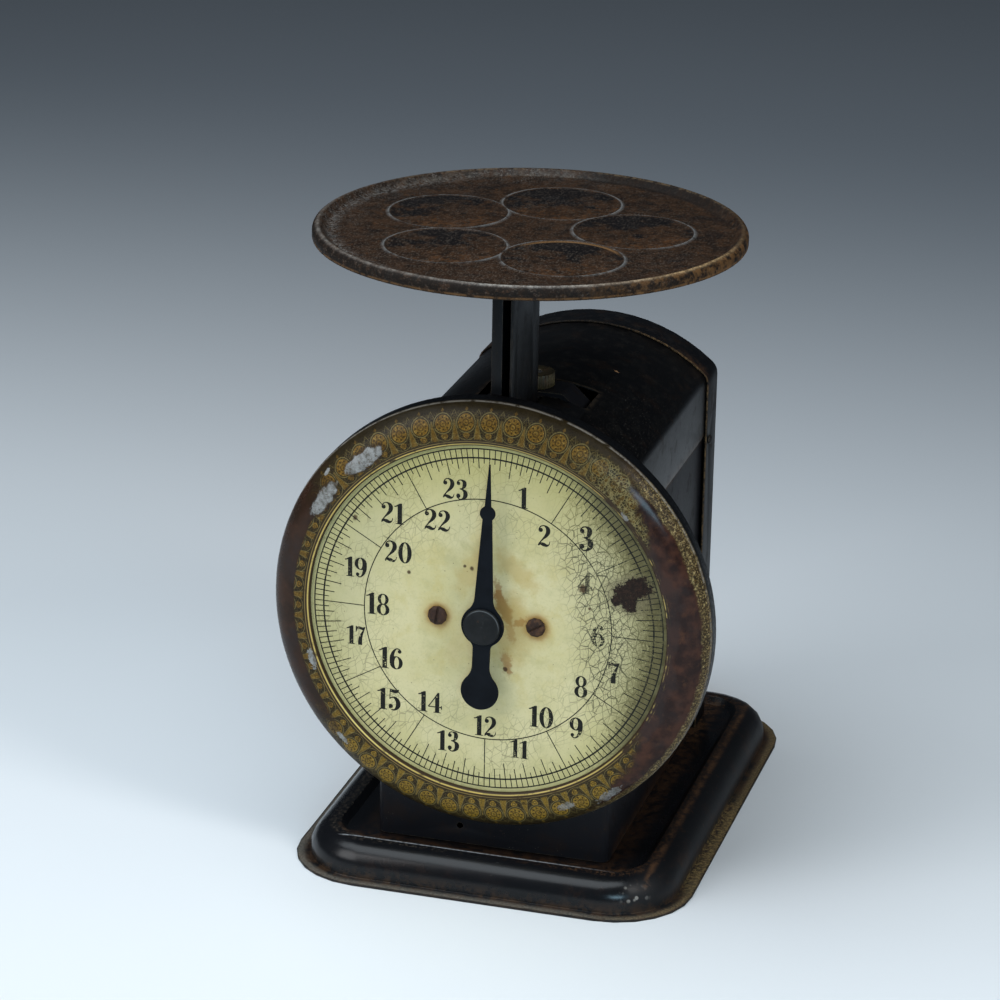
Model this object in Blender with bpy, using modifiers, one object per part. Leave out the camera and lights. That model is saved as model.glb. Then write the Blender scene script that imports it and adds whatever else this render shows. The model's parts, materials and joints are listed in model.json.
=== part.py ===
"""An old household spring scale: a pressed pan base, a sheet case with an arched hood,
a round dial on the front, a channel post that carries a round platform, and the works inside.

Metres, +Z up, the dial faces -Y. The platform's post presses two springs, and a rack on the
post turns a pinion on the pointer's arbor. Sizes are named here once; places across the depth
are measured from the post's axis, and POST_Y moves them so that the origin is the middle of
the footprint at the ground.
"""
import math

import bmesh
import bpy
from mathutils import Matrix, Vector

# Clearances and sheet gauges
GAP = 0.0003
OVERRUN = 0.004
JOIN = 0.0004
TRIM = 0.00006
SHEET = 0.0007
PAN_SHEET = 0.0009
WELD = 0.00001

# Platform, a shallow round plate with a rolled edge
PLATFORM_RADIUS = 0.08255
PLATFORM_TOP = 0.2540
PLATFORM_SHEET = 0.0009
PLATE_DROP = 0.0025
EDGE_ROLL = 0.00255
EDGE_DEPTH = 0.0050
PLATE_BLEND = 0.0035
RING_COUNT = 5
RING_RADIUS = 0.0231
RING_PITCH_RADIUS = 0.0390
RING_WIDTH = 0.0016
RING_HEIGHT = 0.0005
RING_FIRST_TURN = math.radians(87.4)

# Base pan
BASE_HALF_WIDTH = 0.08015
BASE_FRONT = -0.0660
BASE_BACK = 0.1473
BASE_CORNER = 0.0318
FLANGE_WIDTH = 0.0055
ROLL_RADIUS = 0.0100
CREST_Z = 0.0138
CREST_WIDTH = 0.0020
STEP_WIDTH = 0.0025
FLOOR_Z = 0.0110

# Case: a box with an arched roof, the hood lapping over the lower part
HALF_WIDTH = 0.0478
CASE_FRONT = -0.0382
CASE_BACK = 0.1166
ARCH_RADIUS = 0.0706
ROOF_Z = 0.1846
ROOF_CORNER = 0.0055
SEAM_Z = 0.1410
LAP = 0.0090
CASE_CORNER = 0.0030
CAP_FLANGE = 0.0166
TAB_WIDTH = 0.0100
TAB_LENGTH = 0.0150
TAB_FROM = (-0.0200, 0.0600)
DRAIN_X = -0.0130
DRAIN_Z = 0.0187
DRAIN_RADIUS = 0.0013
OPENING_HALF_WIDTH = 0.0220
OPENING_FRONT = 0.0050
OPENING_BACK = 0.0256
OPENING_CORNER = 0.0015
SLOT_CLEARANCE = 0.0012

# Dial, bezel and pan
DIAL_Z = 0.1115
DIAL_FACE = -0.0503
DIAL_THICKNESS = 0.0008
DIAL_HOLE = 0.0050
BEZEL_RADIUS = 0.0865
BEZEL_WIDTH = 0.0161
DIAL_LAP = 0.0036
BEZEL_LIP = 0.0009
BEZEL_CREST = 0.0023
BEZEL_CREST_INSET = 0.0031
BEZEL_EDGE_DEPTH = 0.0061
DIAL_PAN_RIM = 0.0040
SCREW_X = 0.0194
SCREW_HEAD_RADIUS = 0.00385
SCREW_HEAD_HEIGHT = 0.0016
SCREW_RADIUS = 0.0016
SCREW_SLOT = 0.0009
HOLE_PLAY = 0.0003
PILLAR_RADIUS = 0.0040
NUT_RADIUS = 0.0035
NUT_HEIGHT = 0.0025
SCREW_TAIL = 0.0010

# Pointer
POINTER_FACE = 0.0062
POINTER_THICKNESS = 0.0007
TIP_CLEARANCE = 0.0041
TIP_HALF_WIDTH = 0.0003
SPEAR_HALF_WIDTH = 0.00125
BEAD_PLACE = 0.0466
BEAD_RADIUS = 0.00295
NECK_HALF_WIDTH = 0.00175
NECK_BASE_HALF_WIDTH = 0.0036
HUB_RADIUS = 0.0084
HUB_FLARE = 0.0080
TAIL_HALF_WIDTH = 0.00345
TAIL_FLARE = 0.0030
WEIGHT_PLACE = 0.0265
WEIGHT_RADIUS = 0.00775
WEIGHT_FLARE = 0.0080
CAP_RADIUS = 0.0072
CAP_HEIGHT = 0.0012
BOSS_RADIUS = 0.0042
BOSS_LENGTH = 0.0036
ARBOR_RADIUS = 0.0020
RUNNING_PLAY = 0.0001

# Rack and pinion: one turn of the pointer for the full stroke
STROKE = 0.0260
TEETH = 10
PRESSURE_ANGLE = math.radians(20.0)
PINION_ADDENDUM = 0.00050
RACK_ADDENDUM = 0.00045
ROOT_CLEARANCE = 0.00020
BACKLASH = 0.00022
PINION_Y = -0.0280
PINION_WIDTH = 0.0080
RACK_WIDTH = 0.0060
RACK_OUTER_X = 0.0083
RACK_TEETH_BELOW = 3
RACK_TEETH_ABOVE = 12
RACK_LUG = 0.0280
RACK_RIVET_INSETS = (0.0070, 0.0210)

# Post, a sheet channel that opens to the front
POST_HALF_WIDTH = 0.0040
POST_FRONT = -0.0363
POST_BACK = 0.0009
POST_SHEET = 0.00075
POST_LIP = 0.0041
POST_BOTTOM = 0.1520

# Bracket that joins the post to the platform
BRACKET_RADIUS = 0.0300
BRACKET_SHEET = 0.0012
EAR_SHEET = 0.0015
EAR_FRONT = -0.0340
EAR_BACK = -0.0040
EAR_DEPTH = 0.0112
EAR_PIN_PLACES = (-0.0290, -0.0090)
EAR_PIN_DROP = 0.0062
PIN_RADIUS = 0.0012
PIN_HEAD_RADIUS = 0.0024
PIN_HEAD_HEIGHT = 0.0010

# Carriage under the post
CROSSHEAD_HEIGHT = 0.0050
CROSSHEAD_FRONT = -0.0090
CROSSHEAD_HALF_LENGTH = 0.0297
TONGUE_HEIGHT = 0.0133
TONGUE_PIN_HEIGHTS = (0.0040, 0.0095)
STRAP_THICKNESS = 0.0020
STRAP_FRONT = -0.0080
STRAP_BACK = 0.0000
CROSSBAR_Z = 0.0700
CROSSBAR_HEIGHT = 0.0030
CROSSBAR_BACK = 0.0200
STRAP_SCREW_DEPTH = 0.0050
GUIDE_Y = 0.0060
GUIDE_PIN_RADIUS = 0.0030
GUIDE_PIN_END = 0.0385
GUIDE_SHOULDER = 0.0048
GUIDE_SHOULDER_HEIGHT = 0.0012
SOCKET_TOP = 0.0420
SOCKET_RADIUS = 0.0060
SOCKET_FLANGE_RADIUS = 0.0130
SOCKET_FLANGE = 0.0020

# Springs and their hanger
SPRING_X = 0.0170
SPRING_Y = 0.0130
WIRE_RADIUS = 0.0009
COIL_RADIUS = 0.0054
SPRING_TURNS = 10
POINTS_PER_TURN = 8
COIL_RUN_OUT = 0.0060
WIRE_HOLE_PLAY = 0.0004
ANCHOR_RADIUS = 0.0026
ANCHOR_HEIGHT = 0.0025
WIRE_END = 0.0006
HANGER_Z = 0.1580
HANGER_HEIGHT = 0.0050
HANGER_HALF_LENGTH = 0.0230
HANGER_DEPTH = 0.0100
ZERO_SCREW_RADIUS = 0.0025
ZERO_SCREW_HEAD_RADIUS = 0.0045
ZERO_SCREW_HEAD = 0.0030

# Inner frame and the knurled zero nut on its bridge
FRAME_HALF_WIDTH = 0.0430
FRAME_SHEET = 0.0020
FRAME_DEPTH = 0.0150
FRAME_SHOULDER_Z = 0.1580
FRAME_TOP = 0.1857
FRAME_TOP_HALF = 0.0125
FRAME_FOOT = 0.0130
FRAME_BEND = 0.0040
FRAME_TOP_BEND = 0.0030
ZERO_NUT_RADIUS = 0.00725
ZERO_NUT_HEIGHT = 0.0055
KNURLS = 30
KNURL_DEPTH = 0.0004

# Bearing bracket behind the front panel
BEARING_SHEET = 0.0015
BEARING_HALF_WIDTH = 0.0140
BEARING_WING = 0.0240
BEARING_BACK = -0.0200
BEARING_TOP = 0.1240
BEARING_HEIGHT = 0.0250
BUSH_RADIUS = 0.0050
BUSH_FLANGE_RADIUS = 0.0080
BUSH_FLANGE = 0.0015
BUSH_NOSE = 0.0035
ARBOR_TAIL = 0.0008

# Rivets
RIVET_RADIUS = 0.0012
RIVET_HEAD_RADIUS = 0.0020
RIVET_HEAD_HEIGHT = 0.0012
CAP_RIVET_Z = 0.1385
CAP_RIVET_INSET = 0.0120
RIVET_TAIL = 0.0006

# Facets
WIDE_STEPS = 48
ROUND_STEPS = 32
PIN_STEPS = 10
HOLE_STEPS = 24
CORNER_STEPS = 6
ARCH_STEPS = 16
ROLL_STEPS = 5
BEND_STEPS = 3
LIP_STEPS = 2
RING_STEPS = 24
FLANK_STEPS = 3
SWEEP_TURNS = 0.75
SHARP_ANGLE = math.radians(32.0)
EDGE_START = math.radians(150.0)

# Shares of a piece's own radius and height
RIVET_HEAD_SHARES = ((0, 1), (0.5, 0.85), (0.87, 0.5), (1, 0))
CAP_SHARES = ((0, 1), (0.6, 1), (0.92, 0.7), (1, 0.33), (1, 0))
HEAD_FLAT_SHARE = 0.7
BLEND_SHARE = 0.125

# Places that follow from the sizes above
POST_Y = (PLATFORM_RADIUS - BASE_BACK) / 2
SEAT_Z = FLOOR_Z + GAP
PLATE_Z = PLATFORM_TOP - PLATE_DROP
BRACKET_TOP = PLATE_Z - PLATFORM_SHEET - GAP
POST_TOP = BRACKET_TOP - BRACKET_SHEET - GAP
CROSSHEAD_TOP = POST_BOTTOM - GAP
CROSSHEAD_Z = CROSSHEAD_TOP - CROSSHEAD_HEIGHT
POST_INNER_HALF = POST_HALF_WIDTH - POST_SHEET
POST_WEB_FRONT = POST_BACK - POST_SHEET
ARCH_Z = ROOF_Z - ARCH_RADIUS
CORNER_X = HALF_WIDTH - ROOF_CORNER
CORNER_Z = ARCH_Z + math.sqrt((ARCH_RADIUS - ROOF_CORNER) ** 2 - CORNER_X ** 2)
CORNER_ANGLE = math.atan2(CORNER_Z - ARCH_Z, CORNER_X)
LOWER_OFFSET = -(SHEET + GAP)
CAP_OFFSET = SHEET + GAP
LOWER_HALF_WIDTH = HALF_WIDTH + LOWER_OFFSET
CAP_PANEL_FRONT = CASE_BACK - SHEET
SIDE_BACK = CAP_PANEL_FRONT - GAP
PANEL_BACK = CASE_FRONT + SHEET
DIAL_PAN_BACK = CASE_FRONT - GAP
DIAL_PAN_FACE = DIAL_PAN_BACK - SHEET
DIAL_BACK = DIAL_FACE + DIAL_THICKNESS
BEZEL_OPENING = BEZEL_RADIUS - BEZEL_WIDTH
BEZEL_CREST_RADIUS = BEZEL_OPENING + BEZEL_CREST_INSET
DIAL_RADIUS = BEZEL_OPENING + DIAL_LAP
POINTER_TIP = BEZEL_OPENING - TIP_CLEARANCE
SCREW_TIP = PANEL_BACK + GAP + BEARING_SHEET + GAP + NUT_HEIGHT + SCREW_TAIL
PITCH_RADIUS = STROKE / (2 * math.pi)
TOOTH_PITCH = STROKE / TEETH
PINION_ROOT = PITCH_RADIUS - RACK_ADDENDUM - ROOT_CLEARANCE
RACK_ROOT_X = PITCH_RADIUS + PINION_ADDENDUM + ROOT_CLEARANCE
RACK_LUG_X = POST_HALF_WIDTH + GAP
RACK_LUG_Z = POST_BOTTOM - GAP
STRAP_X = CROSSHEAD_HALF_LENGTH + GAP
CROSSBAR_TOP = CROSSBAR_Z + CROSSBAR_HEIGHT
HANGER_TOP = HANGER_Z + HANGER_HEIGHT
FRAME_FRONT = SPRING_Y - FRAME_DEPTH / 2
ZERO_NUT_Z = FRAME_TOP + GAP
ZERO_SCREW_TOP = ZERO_NUT_Z + ZERO_NUT_HEIGHT - GAP
POINTER_BACK = DIAL_FACE - POINTER_FACE + POINTER_THICKNESS
ARBOR_HOLE = ARBOR_RADIUS + RUNNING_PLAY


def vertical(height):
    """How a turned or flat piece that faces up is placed."""
    return Matrix.Translation((0, POST_Y, height))


def facing_front(depth, height):
    """Local Z points to the front, local Y up."""
    return Matrix.Translation((0, POST_Y + depth, height)) @ Matrix.Rotation(math.pi / 2, 4, "X")


def facing_right(offset, depth, height):
    """Local Z points to +X, local X along +Y and local Y up."""
    place = Matrix.Translation((offset, POST_Y + depth, height))
    return place @ Matrix.Rotation(math.pi / 2, 4, "Z") @ Matrix.Rotation(math.pi / 2, 4, "X")


def facing_left(offset, depth, height):
    """Local Z points to -X, local Y up."""
    place = Matrix.Translation((offset, POST_Y + depth, height))
    return place @ Matrix.Rotation(-math.pi / 2, 4, "Z") @ Matrix.Rotation(math.pi / 2, 4, "X")


def collection(name):
    made = bpy.data.collections.new(name)
    bpy.context.scene.collection.children.link(made)
    return made


def finish(name, colour, metallic, roughness):
    """A plain finish shared by the pieces that have it."""
    made = bpy.data.materials.get(name) or bpy.data.materials.new(name)
    made.use_nodes = True
    shader = made.node_tree.nodes["Principled BSDF"]
    shader.inputs["Base Color"].default_value = (*colour, 1)
    shader.inputs["Metallic"].default_value = metallic
    shader.inputs["Roughness"].default_value = roughness
    made.diffuse_color = (*colour, 1)
    return made


def add(name, data, place, look):
    made = bpy.data.objects.new(name, data)
    made.matrix_world = place
    PARTS.objects.link(made)
    if look:
        data.materials.append(look)
    return made


def as_mesh(curve):
    """The same shape as a mesh with its caps welded, so that it can be cut."""
    bpy.context.view_layer.update()
    graph = bpy.context.evaluated_depsgraph_get()
    data = bpy.data.meshes.new_from_object(curve.evaluated_get(graph))
    shape = bmesh.new()
    shape.from_mesh(data)
    bmesh.ops.remove_doubles(shape, verts=shape.verts, dist=WELD)
    bmesh.ops.recalc_face_normals(shape, faces=shape.faces)
    shape.to_mesh(data)
    shape.free()
    name = curve.name
    place = curve.matrix_world.copy()
    bpy.data.objects.remove(curve)
    return add(name, data, place, None)


def turned(name, profile, place, look, steps=ROUND_STEPS, closed=False):
    """A piece turned about its local Z. The profile runs down the outer side."""
    data = bpy.data.meshes.new(name)
    points = [(radius, 0, height) for radius, height in profile]
    edges = [(i, i + 1) for i in range(len(points) - 1)]
    if closed:
        edges.append((len(points) - 1, 0))
    data.from_pydata(points, edges, [])
    made = add(name, data, place, look)
    screw = made.modifiers.new("turn", "SCREW")
    screw.steps = steps
    screw.render_steps = steps
    screw.use_merge_vertices = True
    screw.merge_threshold = WELD
    screw.use_smooth_shade = False
    return made


def flat(name, outline, thickness, place, look, holes=()):
    """A flat piece: an outline in local XY, centred on its thickness."""
    data = bpy.data.curves.new(name, "CURVE")
    data.dimensions = "2D"
    data.fill_mode = "BOTH"
    data.extrude = thickness / 2
    for points in (outline, *holes):
        spline = data.splines.new("POLY")
        spline.points.add(len(points) - 1)
        for point, (x, y) in zip(spline.points, points):
            point.co = (x, y, 0, 1)
        spline.use_cyclic_u = True
    return add(name, data, place, look)


def standing(name, outline, bottom, top, look, holes=()):
    """A flat piece drawn in plan, from the post's axis, and extruded upwards."""
    return flat(name, outline, top - bottom, vertical((bottom + top) / 2), look, holes)


def upright(name, outline, front, back, look, holes=()):
    """A flat piece drawn as seen from the front, with heights from the ground."""
    middle = facing_front((front + back) / 2, 0)
    return flat(name, outline, back - front, middle, look, holes)


def as_cutter(made):
    for owner in list(made.users_collection):
        owner.objects.unlink(made)
    CUTTERS.objects.link(made)
    made.hide_render = True
    made.display_type = "WIRE"
    return made


def combine(made, other, operation):
    modifier = made.modifiers.new(other.name, "BOOLEAN")
    modifier.operation = operation
    modifier.object = as_cutter(other)
    modifier.solver = "EXACT"


def cut(made, *others):
    for other in others:
        combine(made, other, "DIFFERENCE")


def join(made, *others):
    for other in others:
        combine(made, other, "UNION")


def box(name, low, high, look=None):
    """A box between two corners, its depth measured from the post's axis."""
    size = [b - a for a, b in zip(low, high)]
    middle = [(a + b) / 2 for a, b in zip(low, high)]
    shape = bmesh.new()
    bmesh.ops.create_cube(shape, size=1, matrix=Matrix.Diagonal((*size, 1)))
    data = bpy.data.meshes.new(name)
    shape.to_mesh(data)
    shape.free()
    place = Matrix.Translation((middle[0], middle[1] + POST_Y, middle[2]))
    return add(name, data, place, look)


def drill(name, radius, length, place, steps=HOLE_STEPS):
    """A cylinder centred on its place, along local Z, to cut a hole with."""
    shape = bmesh.new()
    bmesh.ops.create_cone(
        shape, cap_ends=True, segments=steps, radius1=radius, radius2=radius, depth=length)
    data = bpy.data.meshes.new(name)
    shape.to_mesh(data)
    shape.free()
    return add(name, data, place, None)


def arc(centre, radius, start, end, steps):
    """Points along an arc, both ends included."""
    angles = [start + (end - start) * i / steps for i in range(steps + 1)]
    return [(centre[0] + radius * math.cos(a), centre[1] + radius * math.sin(a)) for a in angles]


def quarter(side, crest, steps):
    """A quarter ellipse from its upright end to its level end, both included."""
    angles = [math.pi / 2 * i / steps for i in range(steps + 1)]
    return [(crest[0] + (side[0] - crest[0]) * math.cos(a), side[1] + (crest[1] - side[1]) * math.sin(a))
            for a in angles]


def circle(radius, steps=HOLE_STEPS, centre=(0, 0)):
    return arc(centre, radius, 0, 2 * math.pi, steps)[:-1]


def rounded(points, radii, closed=True, steps=BEND_STEPS):
    """The same outline with each corner replaced by an arc of its own radius."""
    made = []
    count = len(points)
    for i, here in enumerate(points):
        corner = Vector(here)
        radius = radii[i]
        if radius == 0 or (not closed and i in (0, count - 1)):
            made.append(tuple(corner))
            continue
        before = (Vector(points[i - 1]) - corner).normalized()
        after = (Vector(points[(i + 1) % count]) - corner).normalized()
        half = before.angle(after) / 2
        along = radius / math.tan(half)
        centre = corner + (before + after).normalized() * radius / math.sin(half)
        first = corner + before * along - centre
        sweep = first.angle_signed(corner + after * along - centre)
        for k in range(steps + 1):
            turned_by = Matrix.Rotation(-sweep * k / steps, 2)
            made.append(tuple(centre + turned_by @ first))
    return made


def sheet(path, thickness):
    """A closed outline: the path, and back along it one thickness to its left."""
    points = [Vector(p) for p in path]
    inner = []
    for i, here in enumerate(points):
        sides = []
        if i > 0:
            sides.append((here - points[i - 1]).normalized())
        if i < len(points) - 1:
            sides.append((points[i + 1] - here).normalized())
        normals = [Vector((-side.y, side.x)) for side in sides]
        middle = sum(normals, Vector((0, 0))).normalized()
        inner.append(tuple(here + middle * thickness / middle.dot(normals[0])))
    return [tuple(p) for p in points] + inner[::-1]


def mirrored(right_side):
    """A closed outline from the points down its right side."""
    return right_side + [(-x, y) for x, y in reversed(right_side) if x != 0]


def case_section(offset, bottom):
    """The case's section seen from the front, right foot over the arch to the left one."""
    side = HALF_WIDTH + offset
    corner = arc((CORNER_X, CORNER_Z), ROOF_CORNER + offset, 0, CORNER_ANGLE, BEND_STEPS)
    roof = arc((0, ARCH_Z), ARCH_RADIUS + offset, CORNER_ANGLE, math.pi - CORNER_ANGLE, ARCH_STEPS)
    left = [(-x, z) for x, z in reversed(corner)]
    return [(side, bottom)] + corner + roof[1:-1] + left + [(-side, bottom)]


def base_ring(inset):
    """The base's outline at one inset from its edge, in plan."""
    radius = BASE_CORNER - inset
    x = BASE_HALF_WIDTH - BASE_CORNER
    front = BASE_FRONT + BASE_CORNER
    back = BASE_BACK - BASE_CORNER
    points = []
    for k, centre in enumerate(((x, back), (-x, back), (-x, front), (x, front))):
        start = k * math.pi / 2
        points += arc(centre, radius, start, start + math.pi / 2, CORNER_STEPS)
    return points


def base_pan():
    """A pressed pan: flat flange, quarter-round roll, crest, and a floor a step lower."""
    roll = arc((FLANGE_WIDTH + ROLL_RADIUS, CREST_Z - ROLL_RADIUS), ROLL_RADIUS,
               math.pi, math.pi / 2, ROLL_STEPS)
    crest_end = FLANGE_WIDTH + ROLL_RADIUS + CREST_WIDTH
    section = [(0, PAN_SHEET), (FLANGE_WIDTH, PAN_SHEET)] + roll
    section += [(crest_end, CREST_Z), (crest_end + STEP_WIDTH, FLOOR_Z)]
    # A loft between rounded rectangles whose corners tighten as they go in, out again underneath
    shape = bmesh.new()
    rings = [[shape.verts.new((x, y, height)) for x, y in base_ring(inset)]
             for inset, height in sheet(section, -PAN_SHEET)]
    floor = len(section) - 1
    for k, first in enumerate(rings):
        second = rings[(k + 1) % len(rings)]
        for i in range(len(first)):
            if k != floor:
                shape.faces.new((first[i - 1], first[i], second[i], second[i - 1]))
    shape.faces.new(rings[floor])
    shape.faces.new(rings[floor + 1][::-1])
    data = bpy.data.meshes.new("base_pan")
    shape.to_mesh(data)
    shape.free()
    made = add("base_pan", data, vertical(0), JAPAN)
    places = case_rivet_places() + frame_rivet_places()
    for i, (x, y) in enumerate(places):
        place = Matrix.Translation((x, POST_Y + y, FLOOR_Z))
        cut(made, drill(f"base_hole_{i}", RIVET_RADIUS + HOLE_PLAY, OVERRUN, place, PIN_STEPS))


def case_rivet_places():
    x = LOWER_HALF_WIDTH - SHEET - TAB_WIDTH / 2
    return [(side * x, start + TAB_LENGTH / 2) for start in TAB_FROM for side in (-1, 1)]


def frame_rivet_places():
    x = FRAME_HALF_WIDTH - FRAME_SHEET - FRAME_FOOT / 2
    return [(side * x, SPRING_Y) for side in (-1, 1)]


def rivet(name, place, shank, look):
    """A round head on a short shank. The place is the face that the head seats on."""
    head = [(RIVET_HEAD_RADIUS * across, RIVET_HEAD_HEIGHT * up) for across, up in RIVET_HEAD_SHARES]
    tail = [(RIVET_RADIUS, 0), (RIVET_RADIUS, -shank), (0, -shank)]
    return turned(name, head + tail, place, look, PIN_STEPS)


def lower_case():
    """Front panel and two sides in one sheet, with tabs that are riveted to the base."""
    side = LOWER_HALF_WIDTH
    path = rounded([(-side, SIDE_BACK), (-side, CASE_FRONT), (side, CASE_FRONT), (side, SIDE_BACK)],
                   [0, CASE_CORNER, CASE_CORNER, 0], closed=False)
    made = as_mesh(standing("lower_case", sheet(path, SHEET), SEAT_Z, ROOF_Z, None))
    made.data.materials.append(JAPAN)
    tabs = []
    for start in TAB_FROM:
        for sign in (-1, 1):
            inner = side - SHEET - TAB_WIDTH
            xs = sorted((sign * inner, sign * (side - SHEET + JOIN)))
            tabs.append(box(f"tab_{len(tabs)}", (xs[0], start, SEAT_Z),
                            (xs[1], start + TAB_LENGTH, SEAT_Z + SHEET)))
    join(made, *tabs)
    roof = case_section(LOWER_OFFSET - TRIM, CORNER_Z)
    wide = side + OVERRUN
    high = ROOF_Z + OVERRUN
    above = [(wide, CORNER_Z), (wide, high), (-wide, high), (-wide, CORNER_Z)] + roof[::-1][1:-1]
    cut(made, as_mesh(upright("above_panel", above, CASE_FRONT - OVERRUN, SIDE_BACK + OVERRUN, None)))
    cut(made, box("above_sides", (-wide, PANEL_BACK + JOIN, SEAM_Z + LAP),
                  (wide, SIDE_BACK + OVERRUN, high)))
    cut(made, drill("drain", DRAIN_RADIUS, OVERRUN, Matrix.Translation((DRAIN_X, 0, 0))
                    @ facing_front(CASE_FRONT, DRAIN_Z), PIN_STEPS))
    cut(made, drill("panel_hole", BUSH_RADIUS + HOLE_PLAY, OVERRUN, facing_front(CASE_FRONT, DIAL_Z)))
    for sign in (-1, 1):
        place = Matrix.Translation((sign * SCREW_X, 0, 0)) @ facing_front(CASE_FRONT, DIAL_Z)
        cut(made, drill(f"panel_screw_hole_{sign}", SCREW_RADIUS + HOLE_PLAY, OVERRUN, place, PIN_STEPS))
        place = facing_right(sign * side, CASE_BACK - CAP_RIVET_INSET, CAP_RIVET_Z)
        cut(made, drill(f"side_rivet_hole_{sign}", RIVET_RADIUS + HOLE_PLAY, OVERRUN, place, PIN_STEPS))
    for i, (x, y) in enumerate(case_rivet_places()):
        place = Matrix.Translation((x, POST_Y + y, SEAT_Z))
        cut(made, drill(f"tab_hole_{i}", RIVET_RADIUS + HOLE_PLAY, OVERRUN, place, PIN_STEPS))
        rivet(f"case_rivet_{i + 1}", Matrix.Translation((x, POST_Y + y, SEAT_Z + SHEET + GAP)),
              SHEET + PAN_SHEET + 2 * GAP + RIVET_TAIL, STEEL)


def hood():
    """The arched hood, with a T-shaped opening: the post's slot and the zero nut's window."""
    outline = case_section(0, SEAM_Z) + case_section(-SHEET, SEAM_Z)[::-1]
    made = as_mesh(upright("hood", outline, CASE_FRONT, SIDE_BACK, None))
    made.data.materials.append(JAPAN)
    slot = POST_HALF_WIDTH + SLOT_CLEARANCE
    wide = OPENING_HALF_WIDTH
    tee = [(slot, CASE_FRONT - OVERRUN), (slot, OPENING_FRONT), (wide, OPENING_FRONT), (wide, OPENING_BACK),
           (-wide, OPENING_BACK), (-wide, OPENING_FRONT), (-slot, OPENING_FRONT),
           (-slot, CASE_FRONT - OVERRUN)]
    corner = OPENING_CORNER
    radii = [0, corner, corner, corner, corner, corner, corner, 0]
    cut(made, as_mesh(standing("roof_opening", rounded(tee, radii), CORNER_Z, ROOF_Z + OVERRUN, None)))


def back_cap():
    """The back panel with a flange that laps forward over the hood and the sides."""
    outer = case_section(CAP_OFFSET, SEAT_Z)
    made = as_mesh(upright("back_cap", outer, CASE_BACK - CAP_FLANGE, CASE_BACK, None))
    made.data.materials.append(JAPAN)
    inner = case_section(CAP_OFFSET - SHEET, SEAT_Z - OVERRUN)
    cut(made, as_mesh(upright("cap_inside", inner, CASE_BACK - CAP_FLANGE - OVERRUN, CAP_PANEL_FRONT, None)))
    seat = HALF_WIDTH + CAP_OFFSET
    for sign, name, turn in ((-1, "left", facing_left), (1, "right", facing_right)):
        depth = CASE_BACK - CAP_RIVET_INSET
        cut(made, drill(f"cap_hole_{name}", RIVET_RADIUS + HOLE_PLAY, OVERRUN,
                        facing_right(sign * seat, depth, CAP_RIVET_Z), PIN_STEPS))
        shank = seat + GAP - (LOWER_HALF_WIDTH - SHEET - RIVET_TAIL)
        rivet(f"cap_rivet_{name}", turn(sign * (seat + GAP), depth, CAP_RIVET_Z), shank, STEEL)


def dial_pan():
    """The dish that closes the dial from behind, against the front panel."""
    radius = BEZEL_RADIUS - SHEET - GAP
    face = DIAL_PAN_BACK - DIAL_PAN_FACE
    inner = radius - SHEET
    profile = [(radius, DIAL_PAN_RIM + face), (radius, 0), (BUSH_RADIUS + HOLE_PLAY, 0),
               (BUSH_RADIUS + HOLE_PLAY, face), (inner, face), (inner, DIAL_PAN_RIM + face)]
    made = turned("dial_pan", profile, facing_front(DIAL_PAN_BACK, DIAL_Z), JAPAN, WIDE_STEPS, closed=True)
    for sign in (-1, 1):
        place = Matrix.Translation((sign * SCREW_X, 0, 0)) @ facing_front(DIAL_PAN_BACK, DIAL_Z)
        cut(made, drill(f"pan_screw_hole_{sign}", SCREW_RADIUS + HOLE_PLAY, OVERRUN, place, PIN_STEPS))


def dial_plate():
    holes = [circle(DIAL_HOLE)]
    holes += [circle(SCREW_RADIUS + HOLE_PLAY, PIN_STEPS, (sign * SCREW_X, 0)) for sign in (-1, 1)]
    middle = facing_front((DIAL_FACE + DIAL_BACK) / 2, DIAL_Z)
    flat("dial_plate", circle(DIAL_RADIUS, WIDE_STEPS), DIAL_THICKNESS, middle, ENAMEL, holes)


def bezel():
    """A convex ring round the dial with a rolled outer edge and a skirt back to the case."""
    path = quarter((BEZEL_OPENING, BEZEL_LIP), (BEZEL_CREST_RADIUS, BEZEL_CREST), LIP_STEPS)
    path += quarter((BEZEL_RADIUS, -BEZEL_EDGE_DEPTH), (BEZEL_CREST_RADIUS, BEZEL_CREST), ROLL_STEPS)[-2::-1]
    path.append((BEZEL_RADIUS, DIAL_FACE - DIAL_PAN_BACK))
    # The path runs down the outer side, so the sheet's inner side lies to its right.
    profile = sheet(path, -SHEET)
    turned("bezel", profile, facing_front(DIAL_FACE, DIAL_Z), BEZEL_PAINT, WIDE_STEPS, closed=True)


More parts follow.
